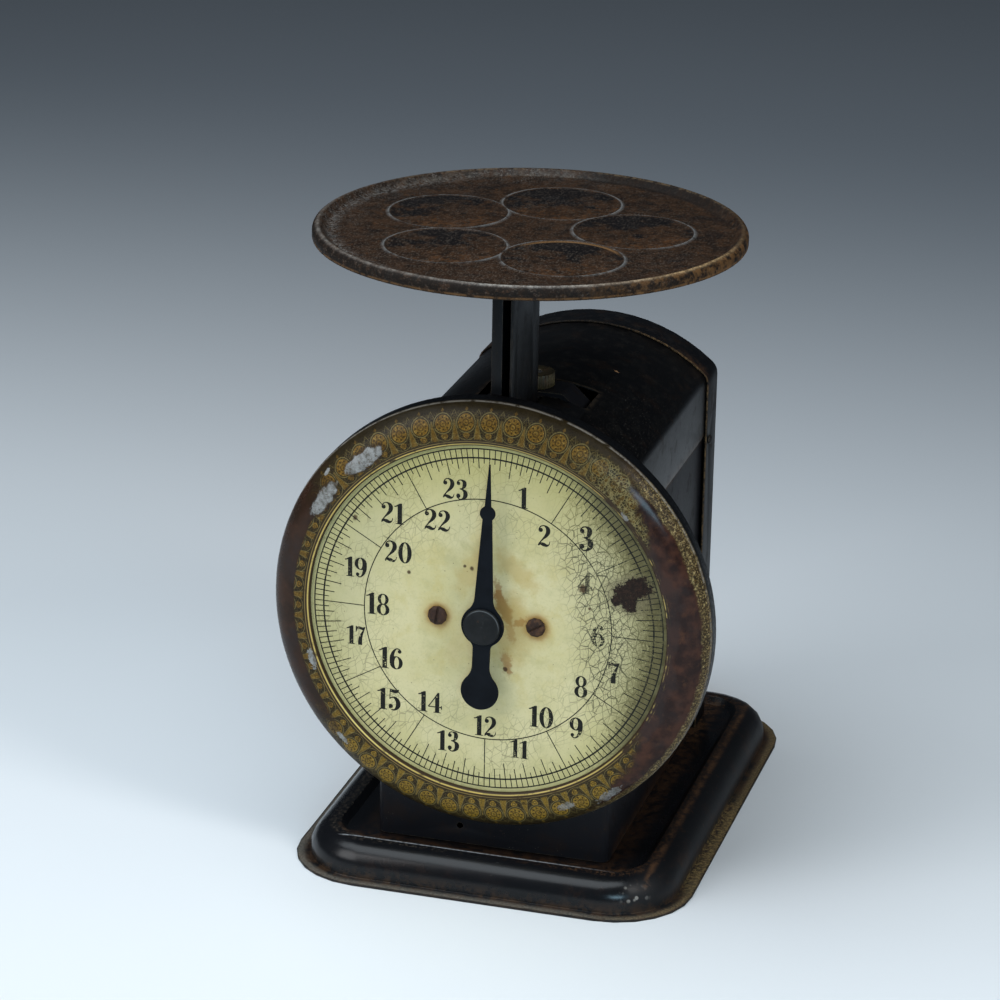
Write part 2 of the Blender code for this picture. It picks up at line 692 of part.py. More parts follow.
def dial_fixings():
    """Two long screws that hold the dial, its pan and the bearing bracket to the front panel."""
    for sign, side in ((-1, "left"), (1, "right")):
        shift = Matrix.Translation((sign * SCREW_X, 0, 0))
        seat = DIAL_FACE - GAP
        profile = [(0, SCREW_HEAD_HEIGHT), (SCREW_HEAD_RADIUS * HEAD_FLAT_SHARE, SCREW_HEAD_HEIGHT),
                   (SCREW_HEAD_RADIUS, SCREW_HEAD_HEIGHT / 2), (SCREW_HEAD_RADIUS, 0), (SCREW_RADIUS, 0),
                   (SCREW_RADIUS, seat - SCREW_TIP), (0, seat - SCREW_TIP)]
        screw = turned(f"dial_screw_{side}", profile, shift @ facing_front(seat, DIAL_Z), STEEL, PIN_STEPS)
        half = SCREW_SLOT / 2
        wide = SCREW_HEAD_RADIUS + OVERRUN
        front = seat - SCREW_HEAD_HEIGHT
        cut(screw, box(f"slot_{side}", (sign * SCREW_X - wide, front - OVERRUN, DIAL_Z - half),
                       (sign * SCREW_X + wide, front + SCREW_HEAD_HEIGHT / 2, DIAL_Z + half)))
        bore = SCREW_RADIUS + HOLE_PLAY
        long = DIAL_PAN_FACE - DIAL_BACK - 2 * GAP
        pillar = [(PILLAR_RADIUS, long), (PILLAR_RADIUS, 0), (bore, 0), (bore, long)]
        turned(f"dial_pillar_{side}", pillar, shift @ facing_front(DIAL_PAN_FACE - GAP, DIAL_Z), BRASS,
               PIN_STEPS, closed=True)
        nut_front = PANEL_BACK + GAP + BEARING_SHEET + GAP
        middle = shift @ facing_front(nut_front + NUT_HEIGHT / 2, DIAL_Z)
        flat(f"dial_nut_{side}", circle(NUT_RADIUS, 6), NUT_HEIGHT, middle, STEEL, [circle(bore, PIN_STEPS)])


def flare(place, radius, half, fillet, above):
    """Where a straight neck runs into a disc through a hollow fillet, right side, top to bottom."""
    rise = math.sqrt((radius + fillet) ** 2 - (half + fillet) ** 2)
    lean = math.atan2(rise, half + fillet)
    if above:
        return arc((half + fillet, place + rise), fillet, math.pi, math.pi + lean, BEND_STEPS)
    return arc((half + fillet, place - rise), fillet, math.pi - lean, math.pi, BEND_STEPS)


def disc_side(place, radius, start, end):
    return arc((0, place), radius, start, end, 2 * BEND_STEPS)[1:-1]


def pointer():
    """Spear, bead, tapered neck, hub disc, short neck and round counterweight."""
    bead_top = math.acos(SPEAR_HALF_WIDTH / BEAD_RADIUS)
    bead_foot = math.acos(NECK_HALF_WIDTH / BEAD_RADIUS)
    hub_top = math.acos((NECK_BASE_HALF_WIDTH + HUB_FLARE) / (HUB_RADIUS + HUB_FLARE))
    hub_foot = math.acos((TAIL_HALF_WIDTH + TAIL_FLARE) / (HUB_RADIUS + TAIL_FLARE))
    weight_top = math.acos((TAIL_HALF_WIDTH + WEIGHT_FLARE) / (WEIGHT_RADIUS + WEIGHT_FLARE))
    side = [(0, POINTER_TIP), (TIP_HALF_WIDTH, POINTER_TIP - TIP_HALF_WIDTH)]
    side += arc((0, BEAD_PLACE), BEAD_RADIUS, bead_top, -bead_foot, 2 * BEND_STEPS)
    side += flare(0, HUB_RADIUS, NECK_BASE_HALF_WIDTH, HUB_FLARE, True)
    side += disc_side(0, HUB_RADIUS, hub_top, -hub_foot)
    side += flare(0, HUB_RADIUS, TAIL_HALF_WIDTH, TAIL_FLARE, False)
    side += flare(-WEIGHT_PLACE, WEIGHT_RADIUS, TAIL_HALF_WIDTH, WEIGHT_FLARE, True)
    side += disc_side(-WEIGHT_PLACE, WEIGHT_RADIUS, weight_top, -math.pi / 2)
    side.append((0, -WEIGHT_PLACE - WEIGHT_RADIUS))
    middle = facing_front(POINTER_BACK - POINTER_THICKNESS / 2, DIAL_Z)
    hole = circle(ARBOR_RADIUS + GAP, PIN_STEPS)
    flat("pointer", mirrored(side), POINTER_THICKNESS, middle, BLUED, [hole])
    cap_back = POINTER_BACK - POINTER_THICKNESS - GAP
    cap = [(CAP_RADIUS * across, CAP_HEIGHT * up) for across, up in CAP_SHARES] + [(0, 0)]
    turned("pointer_hub_cap", cap, facing_front(cap_back, DIAL_Z), BLUED, HOLE_STEPS)


def arbor():
    """The pointer's shaft, with a boss behind the pointer, through the bush to the rear bearing."""
    tail = BEARING_BACK + ARBOR_TAIL
    front = POINTER_BACK - POINTER_THICKNESS
    boss_front = POINTER_BACK + GAP
    boss_back = boss_front + BOSS_LENGTH
    profile = [(0, 0), (ARBOR_RADIUS, 0), (ARBOR_RADIUS, front - boss_front), (BOSS_RADIUS, front - boss_front),
               (BOSS_RADIUS, front - boss_back), (ARBOR_RADIUS, front - boss_back),
               (ARBOR_RADIUS, front - tail), (0, front - tail)]
    turned("pointer_arbor", profile, facing_front(front, DIAL_Z), STEEL, HOLE_STEPS)


def involute(radius, base):
    """Angle swept by the involute where it reaches this radius."""
    over = math.sqrt(max(radius ** 2 / base ** 2 - 1, 0))
    return over - math.atan(over)


def pinion():
    """Involute teeth on the base circle of the pitch radius, one of them level on the right."""
    base = PITCH_RADIUS * math.cos(PRESSURE_ANGLE)
    tip = PITCH_RADIUS + PINION_ADDENDUM
    half_tooth = (TOOTH_PITCH / 2 - BACKLASH / 2) / 2 / PITCH_RADIUS + involute(PITCH_RADIUS, base)
    radii = [base + (tip - base) * i / FLANK_STEPS for i in range(FLANK_STEPS + 1)]
    flank = [(PINION_ROOT, half_tooth)] + [(radius, half_tooth - involute(radius, base)) for radius in radii]
    points = []
    for tooth in range(TEETH):
        middle = 2 * math.pi * tooth / TEETH
        rising = [(radius, middle - angle) for radius, angle in flank]
        falling = [(radius, middle + angle) for radius, angle in reversed(flank)]
        points += [(radius * math.cos(a), radius * math.sin(a)) for radius, a in rising + falling]
    middle = facing_front(PINION_Y, DIAL_Z)
    flat("pinion", points, PINION_WIDTH, middle, BRASS, [circle(ARBOR_RADIUS + GAP, PIN_STEPS)])


def rack():
    """Straight-sided teeth on a strip that is riveted to the post's right flange."""
    slope = math.tan(PRESSURE_ANGLE)
    half_tooth = (TOOTH_PITCH / 2 - BACKLASH / 2) / 2
    tip_x = PITCH_RADIUS - RACK_ADDENDUM
    tip_half = half_tooth - RACK_ADDENDUM * slope
    root_half = half_tooth + (RACK_ROOT_X - PITCH_RADIUS) * slope
    first = DIAL_Z + (0.5 - RACK_TEETH_BELOW) * TOOTH_PITCH
    top = RACK_LUG_Z + RACK_LUG
    side = []
    for tooth in range(RACK_TEETH_BELOW + RACK_TEETH_ABOVE):
        z = first + tooth * TOOTH_PITCH
        side += [(RACK_ROOT_X, z - root_half), (tip_x, z - tip_half), (tip_x, z + tip_half),
                 (RACK_ROOT_X, z + root_half)]
    bottom = first - TOOTH_PITCH
    outline = [(RACK_OUTER_X, bottom), (RACK_OUTER_X, top), (RACK_LUG_X, top), (RACK_LUG_X, RACK_LUG_Z),
               (RACK_ROOT_X, RACK_LUG_Z)] + side[::-1] + [(RACK_ROOT_X, bottom)]
    made = as_mesh(upright("rack", outline, PINION_Y - RACK_WIDTH / 2, PINION_Y + RACK_WIDTH / 2, None))
    made.data.materials.append(BRASS)
    for i, height in enumerate(RACK_RIVET_INSETS):
        place = facing_right(RACK_OUTER_X, PINION_Y, RACK_LUG_Z + height)
        cut(made, drill(f"rack_hole_{i}", PIN_RADIUS + HOLE_PLAY, 3 * OVERRUN, place, PIN_STEPS))


def pin(name, left, right, depth, height, look):
    """A pin along X with a head at each end; left and right are the faces that the heads seat on."""
    long = right - left
    head = PIN_HEAD_HEIGHT
    crown = PIN_HEAD_RADIUS * HEAD_FLAT_SHARE
    profile = [(0, long + head), (crown, long + head), (PIN_HEAD_RADIUS, long + head / 2),
               (PIN_HEAD_RADIUS, long), (PIN_RADIUS, long), (PIN_RADIUS, 0), (PIN_HEAD_RADIUS, 0),
               (PIN_HEAD_RADIUS, -head / 2), (crown, -head), (0, -head)]
    return turned(name, profile, facing_right(left, depth, height), look, PIN_STEPS)


def post_pin_places():
    """Depth and height of every pin through the post's flanges."""
    ears = [(depth, POST_TOP - EAR_PIN_DROP) for depth in EAR_PIN_PLACES]
    tongue = (CROSSHEAD_FRONT + POST_WEB_FRONT) / 2
    return ears, [(tongue, CROSSHEAD_TOP + height) for height in TONGUE_PIN_HEIGHTS]


def post():
    """A sheet channel open to the front, its left flange with a lip turned in."""
    out = POST_HALF_WIDTH
    path = [(POST_LIP - out, POST_FRONT), (-out, POST_FRONT), (-out, POST_BACK), (out, POST_BACK),
            (out, POST_FRONT)]
    # Seen from above this path runs clockwise, so the sheet lies to its right.
    outline = sheet(path, -POST_SHEET)
    made = as_mesh(standing("post", outline, POST_BOTTOM, POST_TOP, None))
    made.data.materials.append(JAPAN)
    ears, tongue = post_pin_places()
    hole = PIN_RADIUS + HOLE_PLAY
    for i, (depth, height) in enumerate(ears + tongue):
        place = facing_right(0, depth, height)
        cut(made, drill(f"post_hole_{i}", hole, 2 * POST_HALF_WIDTH + OVERRUN, place, PIN_STEPS))
    for i, height in enumerate(RACK_RIVET_INSETS):
        place = facing_right(POST_HALF_WIDTH, PINION_Y, RACK_LUG_Z + height)
        cut(made, drill(f"post_rack_hole_{i}", hole, OVERRUN, place, PIN_STEPS))
        pin(f"rack_rivet_{i + 1}", POST_INNER_HALF - GAP, RACK_OUTER_X + GAP, PINION_Y,
            RACK_LUG_Z + height, STEEL)
    ear_out = POST_HALF_WIDTH + GAP + EAR_SHEET + GAP
    for i, (depth, height) in enumerate(ears):
        pin(f"platform_pin_{i + 1}", -ear_out, ear_out, depth, height, STEEL)
    for i, (depth, height) in enumerate(tongue):
        reach = POST_HALF_WIDTH + GAP
        pin(f"tongue_pin_{i + 1}", -reach, reach, depth, height, STEEL)


def platform_bracket():
    """A round plate under the platform with two ears down over the post's flanges."""
    bottom = BRACKET_TOP - BRACKET_SHEET
    profile = [(0, BRACKET_SHEET), (BRACKET_RADIUS, BRACKET_SHEET), (BRACKET_RADIUS, 0), (0, 0)]
    made = turned("platform_bracket", profile, vertical(bottom), JAPAN)
    inner = POST_HALF_WIDTH + GAP
    for side, sign in (("left", -1), ("right", 1)):
        xs = sorted((sign * inner, sign * (inner + EAR_SHEET)))
        ear = box(f"ear_{side}", (xs[0], EAR_FRONT, POST_TOP - EAR_DEPTH),
                  (xs[1], EAR_BACK, bottom + BRACKET_SHEET / 2))
        join(made, ear)
    for i, (depth, height) in enumerate(post_pin_places()[0]):
        length = 2 * (inner + EAR_SHEET) + OVERRUN
        cut(made, drill(f"ear_hole_{i}", PIN_RADIUS + HOLE_PLAY, length, facing_right(0, depth, height),
                        PIN_STEPS))


def platform():
    """The round plate: flat floor, rolled edge turned down, and five embossed rings."""
    crest = PLATFORM_RADIUS - EDGE_ROLL
    roll_z = PLATFORM_TOP - EDGE_ROLL
    roll = arc((crest, roll_z), EDGE_ROLL, EDGE_START, 0, ROLL_STEPS)
    start = roll[0][0]
    path = [(0, PLATE_Z), (start - PLATE_BLEND / 2, PLATE_Z)]
    path.append((start - PLATE_BLEND * BLEND_SHARE, PLATE_Z + PLATE_DROP * BLEND_SHARE))
    path += roll + [(PLATFORM_RADIUS, PLATFORM_TOP - EDGE_DEPTH)]
    made = turned("platform", sheet(path, -PLATFORM_SHEET), vertical(0), PLATFORM_PAINT, WIDE_STEPS)
    half = RING_WIDTH / 2
    for k in range(RING_COUNT):
        angle = RING_FIRST_TURN + 2 * math.pi * k / RING_COUNT
        centre = Vector((RING_PITCH_RADIUS * math.cos(angle), RING_PITCH_RADIUS * math.sin(angle), PLATE_Z))
        ring = [(RING_RADIUS, RING_HEIGHT), (RING_RADIUS + half, -JOIN), (RING_RADIUS - half, -JOIN)]
        join(made, turned(f"ring_{k}", ring, vertical(0) @ Matrix.Translation(centre), None,
                          RING_STEPS, closed=True))


def crosshead():
    """The bar under the post, with a tongue that is pinned between the post's flanges."""
    long = CROSSHEAD_HALF_LENGTH
    made = box("crosshead", (-long, CROSSHEAD_FRONT, CROSSHEAD_Z), (long, POST_BACK, CROSSHEAD_TOP), STEEL)
    half = POST_INNER_HALF - GAP
    join(made, box("tongue", (-half, CROSSHEAD_FRONT + JOIN, CROSSHEAD_Z + JOIN),
                   (half, POST_WEB_FRONT - GAP, CROSSHEAD_TOP + TONGUE_HEIGHT)))
    for i, (depth, height) in enumerate(post_pin_places()[1]):
        cut(made, drill(f"tongue_hole_{i}", PIN_RADIUS + HOLE_PLAY, 2 * POST_HALF_WIDTH + OVERRUN,
                        facing_right(0, depth, height), PIN_STEPS))
    drill_bar_ends(made, "crosshead", (CROSSHEAD_Z + CROSSHEAD_TOP) / 2)


def drill_bar_ends(made, label, height):
    depth = (STRAP_FRONT + STRAP_BACK) / 2
    for sign in (-1, 1):
        place = facing_right(sign * CROSSHEAD_HALF_LENGTH, depth, height)
        cut(made, drill(f"{label}_end_{sign}", PIN_RADIUS, 2 * STRAP_SCREW_DEPTH, place, PIN_STEPS))


def load_straps():
    """Two straps from the crosshead down to the lower crossbar, each with two screws."""
    heights = {"upper": (CROSSHEAD_Z + CROSSHEAD_TOP) / 2, "lower": (CROSSBAR_Z + CROSSBAR_TOP) / 2}
    depth = (STRAP_FRONT + STRAP_BACK) / 2
    outer = STRAP_X + STRAP_THICKNESS
    for side, sign, turn in (("left", -1, facing_left), ("right", 1, facing_right)):
        xs = sorted((sign * STRAP_X, sign * outer))
        strap = box(f"load_strap_{side}", (xs[0], STRAP_FRONT, CROSSBAR_Z),
                    (xs[1], STRAP_BACK, CROSSHEAD_TOP), STEEL)
        for end, height in heights.items():
            place = facing_right(sign * STRAP_X, depth, height)
            cut(strap, drill(f"strap_hole_{side}_{end}", PIN_RADIUS + HOLE_PLAY, 2 * OVERRUN, place,
                             PIN_STEPS))
            shank = STRAP_THICKNESS + 2 * GAP + STRAP_SCREW_DEPTH - PIN_HEAD_HEIGHT
            radius = PIN_RADIUS - RUNNING_PLAY
            profile = [(0, PIN_HEAD_HEIGHT), (PIN_HEAD_RADIUS * HEAD_FLAT_SHARE, PIN_HEAD_HEIGHT),
                       (PIN_HEAD_RADIUS, PIN_HEAD_HEIGHT / 2), (PIN_HEAD_RADIUS, 0), (radius, 0),
                       (radius, -shank), (0, -shank)]
            turned(f"strap_screw_{side}_{end}", profile, turn(sign * (outer + GAP), depth, height), STEEL,
                   PIN_STEPS)


def lower_crossbar():
    """The plate that the springs pull up on, with the guide pin below it."""
    long = CROSSHEAD_HALF_LENGTH
    made = box("lower_crossbar", (-long, STRAP_FRONT, CROSSBAR_Z), (long, CROSSBAR_BACK, CROSSBAR_TOP), STEEL)
    for sign in (-1, 1):
        place = Matrix.Translation((sign * SPRING_X, POST_Y + SPRING_Y, CROSSBAR_Z))
        cut(made, drill(f"crossbar_hole_{sign}", WIRE_RADIUS + WIRE_HOLE_PLAY, 3 * OVERRUN, place, PIN_STEPS))
    drill_bar_ends(made, "crossbar", (CROSSBAR_Z + CROSSBAR_TOP) / 2)
    top = CROSSBAR_Z - GAP
    profile = [(0, top), (GUIDE_SHOULDER, top), (GUIDE_SHOULDER, top - GUIDE_SHOULDER_HEIGHT),
               (GUIDE_PIN_RADIUS, top - GUIDE_SHOULDER_HEIGHT), (GUIDE_PIN_RADIUS, GUIDE_PIN_END),
               (0, GUIDE_PIN_END)]
    place = Matrix.Translation((0, GUIDE_Y, 0)) @ vertical(0)
    turned("guide_pin", profile, place, STEEL, HOLE_STEPS)


def guide_socket():
    """A flanged tube on the base's floor that keeps the guide pin upright."""
    bore = GUIDE_PIN_RADIUS + RUNNING_PLAY
    profile = [(SOCKET_RADIUS, SOCKET_TOP), (SOCKET_RADIUS, SEAT_Z + SOCKET_FLANGE),
               (SOCKET_FLANGE_RADIUS, SEAT_Z + SOCKET_FLANGE), (SOCKET_FLANGE_RADIUS, SEAT_Z), (bore, SEAT_Z),
               (bore, SOCKET_TOP)]
    place = Matrix.Translation((0, GUIDE_Y, 0)) @ vertical(0)
    turned("guide_socket", profile, place, STEEL, HOLE_STEPS, closed=True)


def spring_points():
    """One wire: straight through the hanger, out to the coil, round it, and straight down again."""
    top = HANGER_TOP + GAP + ANCHOR_HEIGHT + WIRE_END
    bottom = CROSSBAR_Z - GAP - ANCHOR_HEIGHT - WIRE_END
    coil_top = HANGER_Z - COIL_RUN_OUT
    coil_bottom = CROSSBAR_TOP + COIL_RUN_OUT
    count = SPRING_TURNS * POINTS_PER_TURN
    ramp = int(SWEEP_TURNS * POINTS_PER_TURN)
    points = [Vector((0, 0, top)), Vector((0, 0, HANGER_Z)), Vector((0, 0, (HANGER_Z + coil_top) / 2))]
    for i in range(1, count):
        grown = min(i, count - i, ramp) / ramp
        radius = COIL_RADIUS * math.sin(grown * math.pi / 2)
        angle = 2 * math.pi * i / POINTS_PER_TURN
        height = coil_top + (coil_bottom - coil_top) * i / count
        points.append(Vector((radius * math.cos(angle), radius * math.sin(angle), height)))
    points += [Vector((0, 0, (CROSSBAR_TOP + coil_bottom) / 2)), Vector((0, 0, CROSSBAR_TOP)),
               Vector((0, 0, bottom))]
    return points


def springs():
    """Two extension springs side by side, with an anchor ring at each end."""
    points = spring_points()
    apart = POINTS_PER_TURN // 2
    least = min((a - b).length for i, a in enumerate(points) for b in points[i + apart:])
    print(f"spring: least gap to itself {(least - 2 * WIRE_RADIUS) * 1000:.2f} mm")
    for side, sign in (("left", -1), ("right", 1)):
        place = Matrix.Translation((sign * SPRING_X, POST_Y + SPRING_Y, 0))
        data = bpy.data.curves.new(f"spring_{side}", "CURVE")
        data.dimensions = "3D"
        data.bevel_depth = WIRE_RADIUS
        data.bevel_resolution = 1
        data.use_fill_caps = True
        wire = data.splines.new("POLY")
        wire.points.add(len(points) - 1)
        for point, co in zip(wire.points, points):
            point.co = (*co, 1)
        add(f"spring_{side}", data, place, SPRING_STEEL)
        bore = WIRE_RADIUS + GAP
        profile = [(ANCHOR_RADIUS, ANCHOR_HEIGHT), (ANCHOR_RADIUS, 0), (bore, 0), (bore, ANCHOR_HEIGHT)]
        for end, height in (("upper", HANGER_TOP + GAP), ("lower", CROSSBAR_Z - GAP - ANCHOR_HEIGHT)):
            turned(f"spring_anchor_{side}_{end}", profile, Matrix.Translation((0, 0, height)) @ place, BRASS,
                   PIN_STEPS, closed=True)


def hanger():
    """The bar that both springs hang from, on one screw through the bridge."""
    half = HANGER_DEPTH / 2
    made = box("hanger_bar", (-HANGER_HALF_LENGTH, SPRING_Y - half, HANGER_Z),
               (HANGER_HALF_LENGTH, SPRING_Y + half, HANGER_TOP), STEEL)
    for i, (x, radius) in enumerate(((-SPRING_X, WIRE_RADIUS + WIRE_HOLE_PLAY),
                                     (SPRING_X, WIRE_RADIUS + WIRE_HOLE_PLAY),
                                     (0, ZERO_SCREW_RADIUS + HOLE_PLAY))):
        place = Matrix.Translation((x, POST_Y + SPRING_Y, HANGER_Z))
        cut(made, drill(f"hanger_hole_{i}", radius, 3 * OVERRUN, place, PIN_STEPS))
    head_top = HANGER_Z - GAP
    head_foot = head_top - ZERO_SCREW_HEAD
    profile = [(0, ZERO_SCREW_TOP), (ZERO_SCREW_RADIUS, ZERO_SCREW_TOP), (ZERO_SCREW_RADIUS, head_top),
               (ZERO_SCREW_HEAD_RADIUS, head_top), (ZERO_SCREW_HEAD_RADIUS, head_foot), (0, head_foot)]
    place = Matrix.Translation((0, POST_Y + SPRING_Y, 0))
    turned("zero_screw", profile, place, STEEL, HOLE_STEPS)
    knurls = []
    for i in range(2 * KNURLS):
        radius = ZERO_NUT_RADIUS - KNURL_DEPTH * (i % 2)
        knurls.append((radius * math.cos(math.pi * i / KNURLS), radius * math.sin(math.pi * i / KNURLS)))
    middle = Matrix.Translation((0, POST_Y + SPRING_Y, ZERO_NUT_Z + ZERO_NUT_HEIGHT / 2))
    flat("zero_nut", knurls, ZERO_NUT_HEIGHT, middle, BRASS, [circle(ZERO_SCREW_RADIUS + RUNNING_PLAY)])


def inner_frame():
    """A strap bent into legs, shoulders and a bridge, with feet riveted to the base."""
    out = FRAME_HALF_WIDTH
    foot = out - FRAME_SHEET - FRAME_FOOT
    right = [(foot, SEAT_Z), (out, SEAT_Z), (out, FRAME_SHOULDER_Z), (FRAME_TOP_HALF, FRAME_TOP)]
    path = right + [(-x, z) for x, z in reversed(right)]
    bend = FRAME_BEND
    top = FRAME_TOP_BEND
    path = rounded(path, [0, bend, bend, top, top, bend, bend, 0], closed=False)
    outline = sheet(path, FRAME_SHEET)
    made = as_mesh(upright("inner_frame", outline, FRAME_FRONT, FRAME_FRONT + FRAME_DEPTH, None))
    made.data.materials.append(BRONZED)
    place = Matrix.Translation((0, POST_Y + SPRING_Y, FRAME_TOP))
    cut(made, drill("bridge_hole", ZERO_SCREW_RADIUS + HOLE_PLAY, 3 * OVERRUN, place))
    seat = SEAT_Z + FRAME_SHEET
    for i, (x, y) in enumerate(frame_rivet_places()):
        cut(made, drill(f"foot_hole_{i}", RIVET_RADIUS + HOLE_PLAY, 2 * OVERRUN,
                        Matrix.Translation((x, POST_Y + y, SEAT_Z)), PIN_STEPS))
        rivet(f"frame_rivet_{i + 1}", Matrix.Translation((x, POST_Y + y, seat + GAP)),
              FRAME_SHEET + PAN_SHEET + 2 * GAP + RIVET_TAIL, STEEL)


def bearing():
    """The hat-shaped bracket with the arbor's rear bearing, and the bush in the front panel."""
    front = PANEL_BACK + GAP
    inner = BEARING_HALF_WIDTH - BEARING_SHEET
    path = [(-BEARING_WING, front), (-inner, front), (-inner, BEARING_BACK - BEARING_SHEET),
            (inner, BEARING_BACK - BEARING_SHEET), (inner, front), (BEARING_WING, front)]
    # The path is the side that faces the front panel, so the sheet lies to its left.
    outline = sheet(path, BEARING_SHEET)
    made = as_mesh(standing("bearing_bracket", outline, BEARING_TOP - BEARING_HEIGHT, BEARING_TOP, None))
    made.data.materials.append(STEEL)
    cut(made, drill("rear_bearing", ARBOR_HOLE, 2 * OVERRUN, facing_front(BEARING_BACK, DIAL_Z)))
    for sign in (-1, 1):
        place = Matrix.Translation((sign * SCREW_X, 0, 0)) @ facing_front(front, DIAL_Z)
        cut(made, drill(f"wing_hole_{sign}", SCREW_RADIUS + HOLE_PLAY, 2 * OVERRUN, place, PIN_STEPS))
    long = front + BUSH_FLANGE - (DIAL_PAN_FACE - BUSH_NOSE)
    profile = [(BUSH_RADIUS, long), (BUSH_RADIUS, BUSH_FLANGE), (BUSH_FLANGE_RADIUS, BUSH_FLANGE),
               (BUSH_FLANGE_RADIUS, 0), (ARBOR_HOLE, 0), (ARBOR_HOLE, long)]
    turned("front_bush", profile, facing_front(front + BUSH_FLANGE, DIAL_Z), BRASS, HOLE_STEPS, closed=True)


def empty(name, place):
    made = bpy.data.objects.new(name, None)
    made.matrix_world = place
    made.empty_display_size = PLATFORM_RADIUS / 2
    PARTS.objects.link(made)
    return made


def smooth_by_angle():
    """Nodes that shade faces smooth and keep the edges sharper than SHARP_ANGLE."""
    group = bpy.data.node_groups.new("smooth_by_angle", "GeometryNodeTree")
    for way in ("INPUT", "OUTPUT"):
        group.interface.new_socket("Geometry", in_out=way, socket_type="NodeSocketGeometry")
    start = group.nodes.new("NodeGroupInput")
    end = group.nodes.new("NodeGroupOutput")
    angle = group.nodes.new("GeometryNodeInputMeshEdgeAngle")
    sharp = group.nodes.new("FunctionNodeCompare")
    sharp.inputs["B"].default_value = SHARP_ANGLE
    faces = group.nodes.new("GeometryNodeSetShadeSmooth")
    edges = group.nodes.new("GeometryNodeSetShadeSmooth")
    edges.domain = "EDGE"
    edges.inputs["Shade Smooth"].default_value = False
    link = group.links.new
    link(start.outputs[0], faces.inputs["Geometry"])
    link(faces.outputs[0], edges.inputs["Geometry"])
    link(angle.outputs["Unsigned Angle"], sharp.inputs["A"])
    link(sharp.outputs[0], edges.inputs["Selection"])
    link(edges.outputs[0], end.inputs[0])
    return group


def shade_pieces():
    group = smooth_by_angle()
    for made in PARTS.objects:
        if made.type == "MESH":
            made.modifiers.new("shading", "NODES").node_group = group


def group_moving_pieces():
    """Each moving group hangs from an empty on its joint's axis."""
    groups = {
        "carriage": (vertical(0), (
            "platform", "post", "rack", "crosshead", "load_strap", "strap_screw", "lower_crossbar",
            "guide_pin", "tongue_pin", "spring_anchor_left_lower", "spring_anchor_right_lower")),
        "pointer_axis": (facing_front(DIAL_FACE, DIAL_Z), ("pointer", "pinion")),
        "zero_axis": (Matrix.Translation((0, POST_Y + SPRING_Y, ZERO_NUT_Z)), ("zero_nut",)),
    }
    pieces = [made for made in PARTS.objects if made.type != "EMPTY"]
    for name, (place, starts) in groups.items():
        parent = empty(name, place)
        for made in pieces:
            if made.name.startswith(starts):
                made.parent = parent
                made.matrix_parent_inverse = place.inverted()


for old in list(bpy.data.objects):
    bpy.data.objects.remove(old)
PARTS = collection("spring_scale")
CUTTERS = collection("cutters")
JAPAN = finish("black_japan", (0.020, 0.021, 0.025), 0.0, 0.32)
PLATFORM_PAINT = finish("brown_black_japan", (0.070, 0.038, 0.028), 0.0, 0.38)
BEZEL_PAINT = finish("maroon_japan", (0.110, 0.045, 0.040), 0.0, 0.35)
ENAMEL = finish("aged_enamel", (0.62, 0.60, 0.34), 0.0, 0.45)
BLUED = finish("blued_steel", (0.030, 0.034, 0.050), 0.7, 0.35)
STEEL = finish("plain_steel", (0.36, 0.35, 0.34), 1.0, 0.42)
SPRING_STEEL = finish("spring_steel", (0.16, 0.15, 0.15), 1.0, 0.40)
BRASS = finish("old_brass", (0.45, 0.33, 0.14), 1.0, 0.42)
BRONZED = finish("bronzed_strap", (0.20, 0.13, 0.08), 0.8, 0.50)

base_pan()
lower_case()
hood()
back_cap()
dial_pan()
dial_plate()
bezel()
dial_fixings()
pointer()
arbor()
pinion()
rack()
post()
platform_bracket()
platform()
crosshead()
load_straps()
lower_crossbar()
guide_socket()
springs()
hanger()
inner_frame()
bearing()
bpy.context.view_layer.update()
group_moving_pieces()
shade_pieces()
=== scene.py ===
import json
import math

import bmesh
import bpy
import numpy as np
from mathutils import Matrix, Vector

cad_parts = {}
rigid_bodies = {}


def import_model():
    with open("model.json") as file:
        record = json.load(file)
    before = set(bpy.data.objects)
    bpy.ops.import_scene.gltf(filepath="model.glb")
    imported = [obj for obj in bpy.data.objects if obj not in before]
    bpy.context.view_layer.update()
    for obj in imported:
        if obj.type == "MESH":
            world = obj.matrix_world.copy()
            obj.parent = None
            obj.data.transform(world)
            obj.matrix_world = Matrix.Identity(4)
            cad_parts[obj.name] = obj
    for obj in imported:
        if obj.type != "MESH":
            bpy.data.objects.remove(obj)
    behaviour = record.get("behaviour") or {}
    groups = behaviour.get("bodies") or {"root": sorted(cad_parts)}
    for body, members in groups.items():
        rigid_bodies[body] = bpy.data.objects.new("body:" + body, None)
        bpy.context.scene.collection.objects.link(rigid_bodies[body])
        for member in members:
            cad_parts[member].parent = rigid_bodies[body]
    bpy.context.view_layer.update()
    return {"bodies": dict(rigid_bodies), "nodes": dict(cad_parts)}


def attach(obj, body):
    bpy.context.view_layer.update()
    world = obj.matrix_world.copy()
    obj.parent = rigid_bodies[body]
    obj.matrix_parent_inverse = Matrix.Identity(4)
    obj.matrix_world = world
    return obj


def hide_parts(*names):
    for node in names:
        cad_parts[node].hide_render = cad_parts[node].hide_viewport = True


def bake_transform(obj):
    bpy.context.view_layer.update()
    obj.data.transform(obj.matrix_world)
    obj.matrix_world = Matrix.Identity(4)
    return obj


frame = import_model()
MM = 0.001

# Places in the shared frame, in metres
POST_Y = -0.032375
DIAL_Z = 0.1115
DIAL_FACE = -0.082675
SPRING_Y = -0.019375
SCREW_X = 0.0194

# The platform's pattern: five rings, the first at this turn
RING_PLACE = 0.0390
RING_RADIUS = 0.0231
RING_FIRST = math.radians(87.4)
FIFTH = math.radians(72.0)


